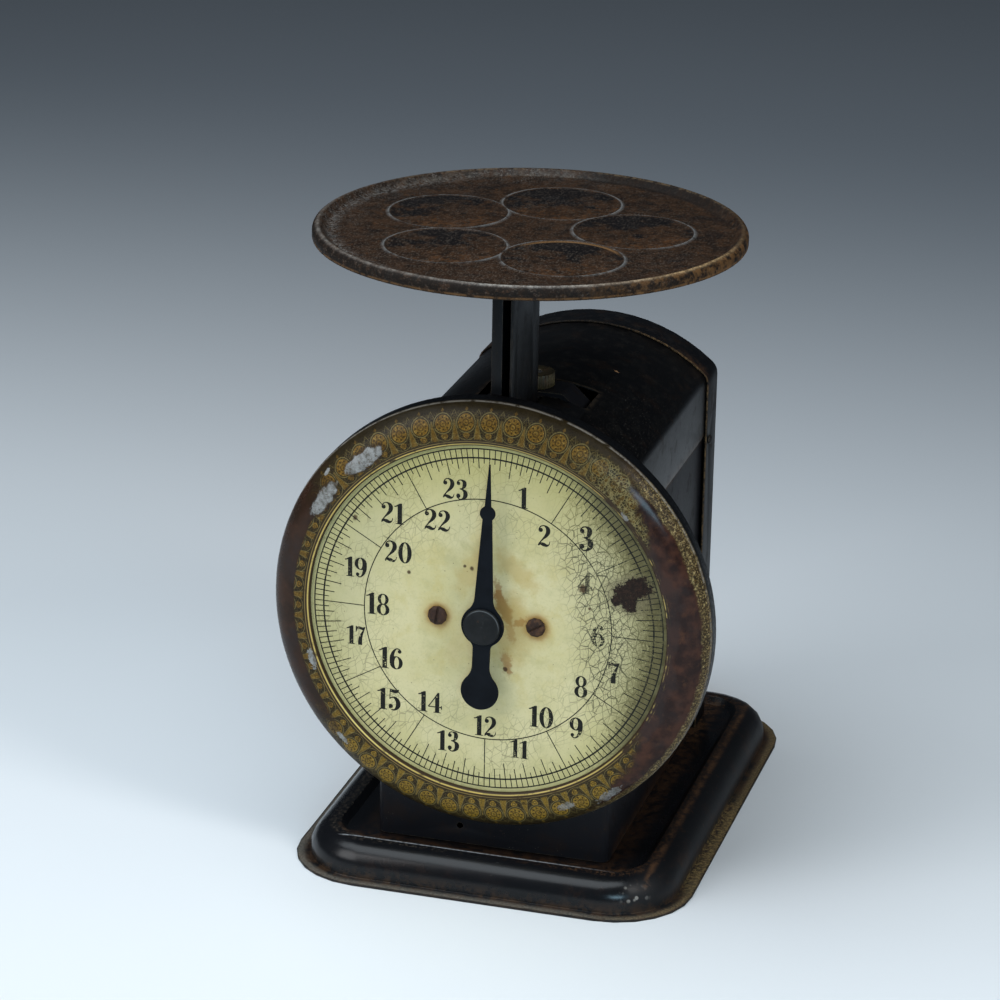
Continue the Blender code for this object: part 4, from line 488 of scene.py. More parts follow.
def enamel(g):
    """Lays the dial's cream with its stains, crazing and bare patch. Gives the crazing's share, where it is
    heavy, the bare patch, the net of cracks and the fine grain."""
    across, up, radius, turn = dial_polar(g)
    broad = g.noise(22, 3, seed=31.0)
    middle = g.noise(6, 4, 0.6, seed=32.0)
    fine = g.noise(0.9, 3, 0.6, seed=33.0)
    g.colour = g.mix(g.smooth(broad, 0.35, 0.65), (0.552, 0.488, 0.248), (0.598, 0.530, 0.296))
    right = g.smooth(across + up * 0.35, 22.0, 60.0)
    g.lay(right * 0.55, (0.415, 0.365, 0.190))
    left = g.smooth(across - up * 0.3, -34.0, -62.0)
    g.lay(left * 0.60, (0.415, 0.385, 0.215))
    warm = g.patches(9, 4, 0.6, 34.0, 0.48, 0.68) * g.smooth(radius, 50.0, 24.0)
    g.lay(warm * 0.60, (0.50, 0.41, 0.16))
    handled = gathered(g, blot, (0.5, 0.0, 138.0, 30.0, 7.0, 0.0, 20.0, 0.5, 0.5),
                       (0.4, 0.0, 94.0, 27.0, 6.0, 0.0, 24.0, 0.5, 0.5))
    g.lay(handled * g.smooth(middle, 0.40, 0.66) * 0.7, (0.40, 0.345, 0.15))
    g.lay(g.smooth(middle, 0.50, 0.70) * 0.30, (0.42, 0.385, 0.20))
    g.lay(g.smooth(fine, 0.50, 0.72) * 0.22, (0.30, 0.28, 0.15))
    specks = g.smooth(g.cells(2.6, seed=35.0), 0.12, 0.05) * g.patches(6, 2, 0.55, 36.0, 0.44, 0.58)
    g.lay(specks * 0.7, (0.11, 0.075, 0.035))

    heavy = (g.smooth(across * 0.95 + up * 0.12, 27.0, 46.0)
             * g.smooth(up, -44.0, -12.0) * g.smooth(up, 50.0, 30.0))
    light = g.smooth(radius, 26.0, 50.0) * g.patches(13, 2, 0.55, 37.0, 0.36, 0.58) * 0.50
    low_right = g.smooth(across + up * 0.2, 26.0, 52.0) * 0.5
    craze = g.clamp(heavy + light + low_right)
    bend_x = (g.noise(5.0, 2, 0.5, seed=45.0) - 0.5) * 2.2
    bend_z = (g.noise(5.0, 2, 0.5, seed=46.0) - 0.5) * 2.2
    sheet = g.vector(g.x + bend_x, g.z + bend_z, 0.0)
    tilted = g.vector(g.x * 0.8 + g.z * 0.6 + bend_z, g.z * 0.8 - g.x * 0.6 + bend_x, 0.0)
    tall = g.cells(2.7, "DISTANCE_TO_EDGE", seed=38.0, place=sheet, stretch=(1.0, 0.45, 1.0), flat=True)
    wide = g.cells(3.0, "DISTANCE_TO_EDGE", seed=43.0, place=tilted, stretch=(0.36, 1.0, 1.0), flat=True)
    small = g.cells(1.35, "DISTANCE_TO_EDGE", seed=39.0, place=tilted, stretch=(1.0, 0.6, 1.0), flat=True)
    broken = g.patches(3.4, 2, 0.5, 40.0, 0.30, 0.50)
    net = g.clamp(g.smooth(tall, 0.060, 0.010) * 0.95 + g.smooth(wide, 0.050, 0.010) * 0.9
                  + g.smooth(small, 0.090, 0.02) * heavy * 0.75 * broken)
    g.lay(heavy * 0.30, (0.36, 0.345, 0.205))
    g.lay(net * craze * 0.92, (0.062, 0.058, 0.034))

    g.lay(g.smooth(radius, 52.0, 70.0) * 0.45, (0.36, 0.325, 0.110))
    upper = g.smooth(up, 26.0, 66.0)
    g.lay(upper * 0.45, (0.350, 0.308, 0.100))
    near_rim = g.smooth(radius, 50.0, 70.5) * g.smooth(across + up * 0.15, 30.0, 58.0)
    g.lay(near_rim * 0.60, (0.175, 0.160, 0.070))
    grime = near_rim * g.smooth(g.noise(1.0, 4, 0.8, seed=44.0) + near_rim * 0.22, 0.48, 0.62)
    g.lay(grime * 0.90, (0.070, 0.056, 0.022))
    rims = g.clamp(g.smooth(radius, 64.0, 71.0) * 0.6 * g.patches(5, 4, 0.7, 41.0, 0.36, 0.60))
    g.lay(rims * g.clamp(0.35 + right * 0.5), (0.20, 0.175, 0.085))

    halo = gathered(g, spot, (1.0, -19.4, 111.2, 5.0, 1.4, 1.0, 0.9), (1.0, 19.4, 111.2, 5.3, 1.4, 2.0, 0.9))
    g.lay(halo * 0.85, (0.33, 0.145, 0.035))
    faint = gathered(g, spot, (1.0, -19.4, 110.5, 7.6, 2.6, 1.5, 1.6), (1.0, 18.6, 110.5, 7.8, 2.8, 2.5, 1.8))
    g.lay(faint * 0.35, (0.46, 0.33, 0.11))
    run = gathered(g, blot, (1.0, 12.8, 112.4, 2.6, 1.5, 20.0, 3.0, 0.7, 0.3),
                   (1.0, 6.6, 117.5, 6.5, 2.6, 118.0, 4.0, 0.6, 0.3),
                   (0.7, 9.4, 108.0, 4.2, 1.6, 100.0, 5.0, 0.7, 0.4),
                   (0.8, 8.2, 95.0, 4.4, 1.9, 100.0, 6.0, 0.8, 0.4),
                   (0.7, 4.4, 124.5, 4.5, 1.3, 106.0, 7.0, 0.8, 0.4))
    g.lay(run * 0.85, (0.25, 0.098, 0.022))
    tint = gathered(g, blot, (0.60, 9.5, 110.0, 14.0, 6.5, 95.0, 8.0, 0.5, 0.5),
                    (0.45, -6.5, 131.0, 9.0, 4.5, 60.0, 9.0, 0.6, 0.5),
                    (0.50, 11.0, 133.0, 10.0, 4.0, 140.0, 10.0, 0.6, 0.5),
                    (0.30, -10.5, 100.0, 9.0, 5.0, 60.0, 11.0, 0.6, 0.5))
    g.lay(tint * 0.9, (0.43, 0.285, 0.085))
    dots = gathered(g, spot, (1.0, -31.1, 127.4, 0.75, 0.3, 12.0, 0.3),
                    (1.0, 37.4, 129.3, 1.5, 0.5, 13.0, 1.3),
                    (1.0, -52.6, 146.8, 1.1, 0.5, 14.0, 0.9), (1.0, 7.6, 92.6, 0.9, 0.3, 15.0, 0.5),
                    (1.0, -6.2, 132.0, 0.8, 0.4, 15.3, 0.6), (1.0, -9.0, 132.6, 0.6, 0.3, 15.6, 0.4),
                    (1.0, 40.0, 121.5, 0.5, 0.3, 15.8, 0.4), (1.0, -12.0, 161.0, 0.6, 0.3, 15.9, 0.5))
    g.lay(dots * 0.92, (0.060, 0.030, 0.014))

    bare_field = gathered(g, blot, (1.0, 58.6, 132.6, 5.6, 4.2, -12.0, 16.0, 0.5, 0.5),
                          (1.0, 53.6, 129.0, 5.6, 3.9, 25.0, 17.0, 0.5, 0.5),
                          (1.0, 55.4, 124.4, 2.6, 3.2, 0.0, 18.0, 0.5, 0.5),
                          (1.0, 50.0, 125.6, 1.6, 1.6, 0.0, 18.5, 0.5, 0.5))
    patch = g.smooth(bare_field + (g.noise(1.1, 4, 0.85, seed=47.0) - 0.5) * 2.3, 0.50, 0.70)
    bare = g.mix(g.patches(1.6, 4, 0.8, 42.0, 0.42, 0.68), (0.0085, 0.0042, 0.0038), (0.027, 0.0120, 0.0082))
    around = g.clamp(blot(g, 56.0, 129.5, 9.5, 8.0, 0.0, 19.0, 0.3, 0.35))
    g.lay(around * 0.65, (0.120, 0.098, 0.056))
    g.lay(patch * 0.97, bare)
    return craze, heavy, patch, net, fine


def dial_finish():
    g = Graph("dial_aged_enamel")
    craze, heavy, patch, net, fine = enamel(g)
    roughness = 0.34 + heavy * 0.14 + patch * 0.15 + fine * 0.08
    height = fine * 0.25 - net * craze * 0.8 - patch * 0.8
    return g.finish(roughness, bump=height, depth=0.03, specular=0.14)


def print_finish():
    """The black of the dial's lines and numbers, rubbed away where the enamel has crazed."""
    g = Graph("dial_print")
    craze, heavy, patch, net, fine = enamel(g)
    grain = g.noise(0.8, 4, 0.75, seed=51.0)
    patchy = g.noise(4.2, 3, 0.6, seed=52.0)
    lost = g.smooth(grain * 0.62 + patchy * 0.38 + heavy * 0.062, 0.585, 0.635)
    gone = blot(g, 38.6, 133.0, 6.6, 5.4, 90.0, 19.5, 0.2, 0.3)
    half_gone = blot(g, 43.6, 111.0, 5.2, 3.2, 90.0, 20.5, 0.3, 0.3) * g.smooth(grain, 0.50, 0.56)
    lost = lost + (0.20 + 0.34 * g.smooth(grain, 0.44, 0.56) - lost) * gone
    lost = g.clamp(lost * 0.8 + half_gone * 0.8 + patch)
    ink = g.mix(g.smooth(grain, 0.35, 0.7), (0.008, 0.008, 0.007), (0.020, 0.019, 0.014))
    g.colour = g.mix(lost, ink, g.colour)
    return g.finish(0.5, bump=fine, depth=0.01, specular=0.12)


ROSETTES = 55
ROSETTE_RADIUS = 79.5


def bezel_finish():
    """The bezel: black japan with a gold band of rosettes, arches and slender columns, maroon where it has
    rubbed away at the two sides, and bare tin in a few places."""
    g = Graph("bezel_ornament")
    across, up, radius, turn = dial_polar(g)
    shake = (g.noise(1.1, 3, 0.6, seed=61.0) - 0.5) * 0.35
    pitch = 2 * math.pi / ROSETTES
    local = g.math("WRAP", turn, pitch / 2, -pitch / 2)
    lx = g.sine(local) * radius + shake
    ly = radius + shake
    off = ly - ROSETTE_RADIUS
    rose = g.length(lx, off)
    around = g.math("ARCTAN2", off, lx)
    disc = g.smooth(rose, 3.20, 2.95)
    outline = g.within(rose, 3.66, 0.12, 0.18)
    dots = g.smooth(g.cosine(around * 8.0), 0.15, 0.75) * g.within(rose, 2.20, 0.36, 0.28)
    heart = g.within(rose, 1.15, 0.20, 0.22)
    core = g.smooth(rose, 0.45, 0.20)
    dark_marks = g.clamp(dots + heart * 0.8 + core * 0.6)
    drop = g.length(lx / (1.25 + (ly - 74.5) * 0.42), (ly - 74.6) / 1.20)
    bud = g.smooth(drop, 1.02, 0.86) * (1.0 - g.within(drop, 0.45, 0.10, 0.12) * 0.8)
    gap = (pitch / 2 - abs(local)) * radius
    flute = g.smooth(ly, 80.6, 73.2) * 1.05 + 0.12
    column = g.smooth(gap - flute, 0.15, -0.10) * g.within(ly, 76.9, 3.7, 0.3)
    column_edge = g.within(gap - flute, 0.12, 0.06, 0.14) * g.within(ly, 76.9, 3.9, 0.3)
    scallop = g.within(g.length(lx, ly - 77.0), 4.05, 0.08, 0.18) * g.smooth(ly, 75.2, 74.6)
    flame = g.within(abs(gap) * 1.4 + (ly - 82.6) * 0.8, 1.1, 0.10, 0.25) * g.within(ly, 83.0, 1.2, 0.3)
    tip = g.smooth(abs(lx) * 1.2 + abs(ly - 84.0), 0.95, 0.6)
    filled = g.clamp(disc + bud + column * 0.75 + tip * 0.5)
    thin = g.clamp(outline + column_edge + scallop + flame * 0.7)

    degrees = turn * (180 / math.pi)
    ragged = g.noise(7, 4, 0.65, seed=64.0) - 0.5
    rim_ward = radius - 78.0
    far_right = (g.smooth(degrees + rim_ward * 2.0 + ragged * 22.0, 46.0, 54.0)
                 * g.smooth(degrees - rim_ward * 2.2 + ragged * 22.0, 140.0, 130.0))
    far_left = (g.smooth(degrees + ragged * 20.0, -48.0, -62.0)
                * g.smooth(degrees + ragged * 30.0, -136.0, -118.0))
    strip = g.smooth(radius + ragged * 1.2, 77.2, 76.2)
    left_zone = far_left * (1.0 - strip)
    thinner = g.smooth(degrees, 62.0, 100.0) * 1.3
    edge_band = g.smooth(radius + ragged * 3.0 - thinner, 82.2, 83.4)
    fringe_zone = (g.smooth(degrees + ragged * 16.0, 36.0, 48.0)
                   * g.smooth(degrees + ragged * 30.0, 160.0, 136.0))
    fringe = edge_band * fringe_zone * g.patches(0.8, 4, 0.8, 66.0, 0.46, 0.58)
    maroon = g.clamp(left_zone + far_right * (1.0 - edge_band * 0.8))
    speckled = g.smooth(degrees + ragged * 20.0, 22.0, 40.0) * g.smooth(degrees, 105.0, 90.0)
    tarnish = g.noise(4.0, 4, 0.7, seed=67.0)
    lights = g.noise(1.0, 3, 0.7, seed=79.0)
    low_side = g.smooth(up, -25.0, -66.0)
    shiny = g.mix(tarnish, (0.105, 0.052, 0.0070), (0.215, 0.118, 0.018))
    shiny = g.mix(low_side * 0.6, shiny, (0.300, 0.185, 0.020))
    shiny = g.mix(g.smooth(lights, 0.50, 0.70) * 0.6, shiny, (0.38, 0.25, 0.060))
    pale = g.mix(lights, (0.105, 0.078, 0.024), (0.27, 0.21, 0.080))
    ground = g.mix(g.noise(6, 3, seed=68.0), (0.0085, 0.0058, 0.0026), (0.024, 0.0160, 0.0062))
    outer = g.smooth(radius, 82.6, 84.2)
    haze = outer * g.patches(1.6, 4, 0.7, 69.0, 0.34, 0.62)
    ground = g.mix(haze * 0.22, ground, (0.036, 0.026, 0.012))
    inner = g.smooth(radius, 73.0, 72.5)
    ground = g.mix(inner, ground, (0.035, 0.021, 0.011))
    wear = g.noise(2.2, 4, 0.75, seed=70.0)
    rubbed = g.smooth(wear + speckled * 0.07, 0.56, 0.66)
    keep = (1.0 - rubbed * 0.8) * (1.0 - maroon) * (1.0 - inner)
    g.colour = g.mix(g.clamp(filled * keep * (1.0 - speckled * 0.45)), ground, shiny)
    lace = g.smooth(g.cells(0.95, "DISTANCE_TO_EDGE", seed=86.0), 0.12, 0.03)
    g.lay(lace * g.clamp(filled - disc * 0.25) * keep * 0.75, (0.026, 0.015, 0.004))
    g.lay(lace * (1.0 - filled) * keep * (1.0 - outer * 0.85) * 0.42, (0.120, 0.082, 0.022))
    g.lay(g.clamp(dark_marks * disc * 0.92), (0.020, 0.011, 0.003))
    flecks = g.patches(0.9, 3, 0.8, 88.0, 0.52, 0.64) * g.patches(5.0, 2, 0.55, 89.0, 0.36, 0.60)
    g.lay(flecks * filled * keep * 0.70, (0.030, 0.019, 0.007))
    g.lay(g.clamp(thin * keep * 0.85), pale)
    crumb_net = (g.smooth(g.cells(1.15, "DISTANCE_TO_EDGE", seed=80.0), 0.16, 0.05)
                 * g.patches(1.7, 3, 0.7, 85.0, 0.36, 0.56))
    moss = speckled * (1.0 - maroon) * (1.0 - inner) * (1.0 - outer)
    g.lay(g.clamp(crumb_net * moss * 0.75), (0.215, 0.175, 0.075))
    wine = g.mix(g.patches(9, 4, 0.6, 71.0, 0.38, 0.64), (0.017, 0.0085, 0.0070), (0.056, 0.0225, 0.0138))
    left_side = g.smooth(degrees, 0.0, -20.0)
    wine = g.mix(left_side * 0.70, wine, (0.024, 0.0135, 0.0078))
    grey = g.smooth(g.noise(13, 3, 0.6, seed=72.0) + g.smooth(radius, 77.5, 72.0) * 0.30, 0.50, 0.68)
    wine = g.mix(grey * 0.55, wine, (0.026, 0.019, 0.018))
    orange = g.patches(5, 5, 0.75, 73.0, 0.53, 0.72) * (1.0 - left_side * 0.6)
    wine = g.mix(orange * 0.32, wine, (0.13, 0.052, 0.022))
    g.lay(maroon, wine)
    g.lay(fringe * 0.85, g.mix(g.smooth(lights, 0.4, 0.7), (0.10, 0.060, 0.018), (0.46, 0.35, 0.16)))

    fade = g.within(degrees, 84.0, 44.0, 14.0)
    line_wear = g.smooth(g.noise(5.5, 3, 0.6, seed=74.0) + fade * 0.22, 0.72, 0.56)
    lines = g.clamp(g.within(radius, 71.20, 0.24, 0.16) + g.within(radius, 72.25, 0.10, 0.14) * 0.45)
    lines = lines * line_wear
    g.lay(lines, g.mix(left_side, (0.40, 0.30, 0.095), (0.55, 0.40, 0.12)))
    g.lay(g.smooth(radius, 86.34, 86.44), (0.0046, 0.0050, 0.0062))
    # Painted highlight: a pale broken line along the bezel's outer edge, stronger towards the top.
    edge_highlight = g.within(radius, 86.15, 0.14, 0.14) * g.patches(4, 4, 0.7, 75.0, 0.36, 0.54)
    edge_highlight = edge_highlight * (0.35 + g.smooth(up, -45.0, 45.0) * 0.65)
    g.lay(edge_highlight * 0.60, (0.33, 0.30, 0.26))
    tin = gathered(g, blot, (1.0, -48.8, 171.0, 8.8, 2.9, 39.0, 21.0, 0.30),
                   (1.0, -64.6, 153.6, 8.2, 2.7, 56.0, 23.0, 0.34),
                   (1.0, -64.0, 164.0, 1.8, 0.7, 60.0, 25.0, 0.3),
                   (1.0, -69.2, 87.5, 4.0, 1.4, 107.0, 26.0, 0.5),
                   (1.0, -57.0, 55.6, 3.2, 1.1, 135.0, 27.0, 0.6),
                   (0.7, 50.0, 46.5, 6.0, 1.7, 40.0, 28.0, 0.6), (0.7, 33.0, 39.6, 3.6, 1.4, 24.0, 29.0, 0.7),
                   (0.6, 53.0, 160.5, 2.0, 0.9, -50.0, 30.0, 0.6))
    border = gathered(g, blot, (1.0, -48.8, 171.0, 9.9, 3.9, 39.0, 21.0, 0.34),
                      (1.0, -64.6, 153.6, 9.6, 3.9, 56.0, 23.0, 0.38))
    g.lay(border * 0.75, (0.022, 0.013, 0.008))
    tin_colour = g.mix(g.patches(2.6, 5, 0.75, 76.0, 0.34, 0.62),
                       (0.120, 0.114, 0.100), (0.310, 0.310, 0.300))
    tin_colour = g.mix(g.patches(2.8, 4, 0.75, 87.0, 0.54, 0.64) * 0.8, tin_colour, (0.085, 0.060, 0.038))
    g.lay(tin * 0.93, tin_colour)
    roughness = 0.30 + tarnish * 0.10 - maroon * 0.17 + haze * 0.15 + tin * 0.10 + fringe * 0.1
    metal = g.clamp(tin * 0.3 + lines * 0.3)
    relief = g.clamp((filled + thin) * keep)
    height = (relief * 0.5 + g.noise(1.0, 3, seed=77.0) * (0.35 - tin * 0.25)
              - tin * 0.9 + g.noise(12, 2, seed=78.0) * 0.8)
    return g.finish(roughness, metal, height, 0.035, 0.14)


def metal_finish(name, colour, dark, rough, rust, metal, grain=(1, 1, 1), specular=0.5, marks=None):
    """Old bare metal: dull patches, brown rust in places, fine marks."""
    g = Graph(name)
    broad = g.noise(7, 4, 0.65, seed=81.0)
    fine = g.noise(0.6, 4, 0.7, seed=82.0, stretch=grain)
    rusty = g.patches(2.6, 5, 0.75, 83.0, 0.66 - rust * 0.3, 0.80 - rust * 0.3)
    g.colour = g.mix(g.smooth(broad, 0.3, 0.7), colour, dark)
    g.lay(rusty * 0.8, (0.085, 0.040, 0.018))
    bright = g.edge(0.35) * g.smooth(fine, 0.35, 0.6)
    g.lay(bright * 0.35, [c * 1.8 for c in colour])
    if marks:
        marks(g)
    return g.finish(rough + broad * 0.15 + rusty * 0.25, metal - rusty * (metal * 0.9),
                    bump=fine * 0.5 + rusty * 0.5, depth=0.02, specular=specular)


def cap_rim(g):
    """The hub cap's face, scuffed, with a painted highlight along its rim at the top."""
    across, up, radius, turn = dial_polar(g)
    scuff = g.patches(0.9, 4, 0.75, 105.0, 0.56, 0.70, (1, 1, 0.4)) * g.smooth(radius, 5.6, 1.0)
    g.lay(scuff * 0.35, (0.060, 0.060, 0.055))
    # Painted highlight on the rim's upper half.
    rim = g.within(radius, 6.75, 0.16, 0.22) * g.smooth(g.cosine(turn - 0.35), 0.0, 0.8)
    g.lay(rim * 0.75, (0.115, 0.125, 0.130))


blued = metal_finish("pointer_blued_steel", (0.0062, 0.0078, 0.0105), (0.0042, 0.0052, 0.0068),
                     0.45, 0.05, 0.0, specular=0.06)
cap_steel = metal_finish("hub_cap_steel", (0.0125, 0.0135, 0.0140), (0.0065, 0.0072, 0.0076), 0.40, 0.1, 0.06,
                         specular=0.16, marks=cap_rim)
steel = metal_finish("plain_steel", (0.30, 0.29, 0.27), (0.15, 0.14, 0.13), 0.38, 0.55, 0.9)
spring_steel = metal_finish("spring_steel", (0.16, 0.16, 0.165), (0.07, 0.07, 0.075), 0.32, 0.4, 0.9,
                            grain=(1, 1, 0.3))
brass = metal_finish("old_brass", (0.30, 0.20, 0.075), (0.12, 0.085, 0.035), 0.36, 0.25, 0.9)
nut_brass = metal_finish("nut_brass", (0.120, 0.092, 0.038), (0.035, 0.026, 0.014), 0.42, 0.45, 0.5)
screw_rust = metal_finish("dial_screw_rust", (0.045, 0.019, 0.010), (0.018, 0.009, 0.006), 0.52, 0.55, 0.2,
                          specular=0.3)
strap_bronze = metal_finish("bronzed_strap", (0.16, 0.11, 0.055), (0.07, 0.05, 0.03), 0.42, 0.5, 0.8,
                            grain=(0.2, 1, 1))
pan_black = pan_finish()
plate_brown = platform_finish()
dial_cream = dial_finish()
dial_print = print_finish()
bezel_gold = bezel_finish()


# Meshes
def added(name, data, material=None):
    """An object in the scene, smooth where it has a material."""
    made = bpy.data.objects.new(name, data)
    bpy.context.scene.collection.objects.link(made)
    if material:
        data.materials.clear()
        data.materials.append(material)
        data.shade_smooth()
    return made


def piece(name, mesh, body, material, angle=32.0):
    """An object with that mesh, smooth but for edges sharper than angle, riding on a body."""
    made = added(name, mesh, material)
    mesh.set_sharp_from_angle(angle=math.radians(angle))
    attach(made, body)
    return made


def mesh_of(name, points, faces):
    mesh = bpy.data.meshes.new(name)
    mesh.from_pydata([tuple(p) for p in points], [], faces)
    mesh.update()
    return mesh


def closed(name, points, faces):
    """A closed mesh whose faces all look outwards."""
    mesh = mesh_of(name, points, faces)
    work = bmesh.new()
    work.from_mesh(mesh)
    bmesh.ops.recalc_face_normals(work, faces=work.faces)
    work.to_mesh(mesh)
    work.free()
    return mesh


def banded(rows):
    """Faces between one row of points round a shape and the next."""
    faces = []
    for row, after in zip(rows, rows[1:]):
        for step in range(len(row)):
            n = (step + 1) % len(row)
            corners = list(dict.fromkeys((row[step], row[n], after[n], after[step])))
            if len(corners) > 2:
                faces.append(corners)
    return faces


def to_front(depth=0.0, height=DIAL_Z):
    """Local Z points to the front, local Y up, from the dial's centre."""
    return Matrix.Translation((0, depth, height)) @ Matrix.Rotation(math.pi / 2, 4, "X")


def turned(name, profile, matrix, steps):
    """A closed ring of (radius, height) points turned about local Z. A radius of 0 closes at the axis, and a
    height may be a function of x and y."""
    points, rows = [], []
    for radius, height in profile:
        count = steps if radius else 1
        rows.append([len(points) + step % count for step in range(steps)])
        for step in range(count):
            turn = 2 * math.pi * step / steps
            x, y = radius * math.cos(turn), radius * math.sin(turn)
            points.append(matrix @ Vector((x, y, height(x, y) if callable(height) else height)))
    return closed(name, points, banded(rows + rows[:1]))


def quarter(steps):
    """The turns of a quarter circle's points after its first."""
    return [math.pi / 2 * step / steps for step in range(1, steps + 1)]


BODY_OF = {node_name: name for name, body in frame["bodies"].items()
           for node_name, node in frame["nodes"].items() if node.parent == body}


def refined(node, material, bevel, about=None, turn=0.0):
    """The CAD node's own shape with its sharp edges rounded, in place of the node. It may be turned in the
    plane of the dial, by that many degrees about a point (x, z)."""
    work = bmesh.new()
    work.from_mesh(frame["nodes"][node].data)
    bmesh.ops.remove_doubles(work, verts=work.verts, dist=0.00001)
    bmesh.ops.dissolve_limit(work, angle_limit=math.radians(0.6), verts=work.verts, edges=work.edges)
    sharp = [e for e in work.edges if len(e.link_faces) == 2 and e.calc_face_angle(0.0) > math.radians(30.0)]
    bmesh.ops.bevel(work, geom=sharp, offset=bevel * MM, segments=2, profile=0.5, affect="EDGES",
                    clamp_overlap=True)
    if about:
        bmesh.ops.rotate(work, verts=work.verts, cent=(about[0], 0, about[1]),
                         matrix=Matrix.Rotation(math.radians(-turn), 3, "Y"))
    bmesh.ops.triangulate(work, faces=[f for f in work.faces if len(f.verts) > 4])
    mesh = bpy.data.meshes.new(node + "_body")
    work.to_mesh(mesh)
    work.free()
    made = piece(node + "_body", mesh, BODY_OF[node], material, 38.0)
    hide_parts(node)


# Platform
PLATE_FLAT = 0.0800
PLATE_LIP = 0.00255
PLATE_TOP = 0.2540
PLATE_LEVEL = 0.2515
PLATE_UNDER = 0.2506


def smoothstep(value, start, end):
    share = min(1.0, max(0.0, (value - start) / (end - start)))
    return share * share * (3 - 2 * share)


def platform_height(x, y):
    """The platform's top over its middle, with its raised rings, in metres."""
    radius = math.hypot(x, y)
    height = PLATE_LEVEL + 0.0025 * smoothstep(radius, 0.0765, PLATE_FLAT)
    turn = math.atan2(y, x) - RING_FIRST
    local = (turn + FIFTH / 2) % FIFTH - FIFTH / 2
    ring = math.hypot(radius * math.cos(local) - RING_PLACE, radius * math.sin(local))
    height += 0.00042 * math.exp(-((ring - RING_RADIUS) / 0.00050) ** 2)
    height -= 0.00016 * (1 - smoothstep(ring, 0.0214, 0.0226))
    sag = math.sin(x * 62 + 1.0) * math.cos(y * 55 + 0.4)
    return height + 0.00010 * sag * (1 - smoothstep(radius, 0.060, 0.076))


def platform_profile():
    """The platform's section, from the middle of its top round the rim to the middle of its underside."""
    top = [0.0]
    while top[-1] < PLATE_FLAT - 1e-6:
        top.append(min(PLATE_FLAT, top[-1] + (0.00042 if top[-1] > 0.010 else 0.0012)))
    lip = [(PLATE_FLAT + PLATE_LIP * math.sin(turn), PLATE_TOP - PLATE_LIP * (1 - math.cos(turn)))
           for turn in quarter(10)]
    under = [(0.08255, 0.2493), (0.0824, 0.2490), (0.0819, 0.2490), (0.08165, 0.2493), (0.08165, 0.2514),
             (PLATE_FLAT, 0.2531), (0.0776, 0.2516), (0.0762, PLATE_UNDER), (0.0400, PLATE_UNDER),
             (0, PLATE_UNDER)]
    return [(radius, platform_height) for radius in top] + lip + under


on_post = Matrix.Translation((0, POST_Y, 0))
plate = piece("platform_plate", turned("platform_plate", platform_profile(), on_post, 420), "carriage",
              plate_brown, 50)
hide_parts("platform")


# Bezel
BEZEL_MIDDLE = 0.0735
BEZEL_SPRING = 0.076575


def bezel_profile():
    """(radius, height in front of the dial's centre plane) round the bezel's sheet."""
    face = -DIAL_FACE
    outer = [(0.0704, face + 0.0001), (0.0704, face + 0.0009)]
    outer += [(BEZEL_MIDDLE - 0.0031 * math.cos(turn), 0.083575 + 0.0014 * math.sin(turn))
              for turn in quarter(8)]
    outer += [(BEZEL_MIDDLE + 0.0130 * math.sin(turn), BEZEL_SPRING + 0.0084 * math.cos(turn))
              for turn in quarter(20)]
    outer += [(0.0865, 0.0716), (0.0862, 0.0712), (0.0859, 0.0716), (0.0858, 0.0764)]
    inner = [(BEZEL_MIDDLE + 0.0123 * math.sin(turn), BEZEL_SPRING + 0.0077 * math.cos(turn))
             for turn in reversed(quarter(20))]
    return outer + inner + [(BEZEL_MIDDLE, 0.0839), (0.0716, 0.0834), (0.0710, face + 0.0001)]


bezel = piece("bezel_ring", turned("bezel_ring", bezel_profile(), to_front(), 256), "case", bezel_gold, 40)
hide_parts("bezel")


# Numbers and lines of the dial
def catmull(points, steps=7):
    """A smooth run through (x, y, width) points."""
    points = np.array(points, float)
    ends = np.vstack([2 * points[0] - points[1], points, 2 * points[-1] - points[-2]])
    made = []
    for i in range(1, len(ends) - 2):
        a, b, c, d = ends[i - 1:i + 3]
        for step in range(steps):
            t = step / steps
            made.append(0.5 * (2 * b + (c - a) * t + (2 * a - 5 * b + 4 * c - d) * t * t
                               + (3 * b - a - 3 * c + d) * t ** 3))
    made.append(points[-1])
    return made


def stroke(points):
    """A line with swelling width, as one outline."""
    run = catmull(points)
    left, right = [], []
    for i, (x, y, width) in enumerate(run):
        earlier, later = run[max(0, i - 1)], run[min(len(run) - 1, i + 1)]
        dx, dy = later[0] - earlier[0], later[1] - earlier[1]
        size = math.hypot(dx, dy) or 1.0
        nx, ny = -dy / size * width / 2, dx / size * width / 2
        left.append((x + nx, y + ny))
        right.append((x - nx, y - ny))
    return ("strip", left, right)


def oval(x, y, wide, tall, steps):
    turns = [2 * math.pi * s / steps for s in range(steps + 1)]
    return [(x + wide * math.cos(turn), y + tall * math.sin(turn)) for turn in turns]


def ball(x, y, radius):
    return ("fill", oval(x, y, radius, radius, 18)[:-1])


def bowl(x, y, wide, tall, inner_wide, inner_tall, shift=0.0):
    """The ring between two ovals: a fat bowl with thin top and bottom."""
    return ("strip", oval(x, y, wide, tall, 36), oval(x + shift, y, inner_wide, inner_tall, 36))


def fill(*points):
    return ("fill", list(points))


def turned_round(shapes, x, y):
    """Shapes turned half a turn about a point."""
    return [(kind, *[[(2 * x - a, 2 * y - b) for a, b in run] for run in runs]) for kind, *runs in shapes]


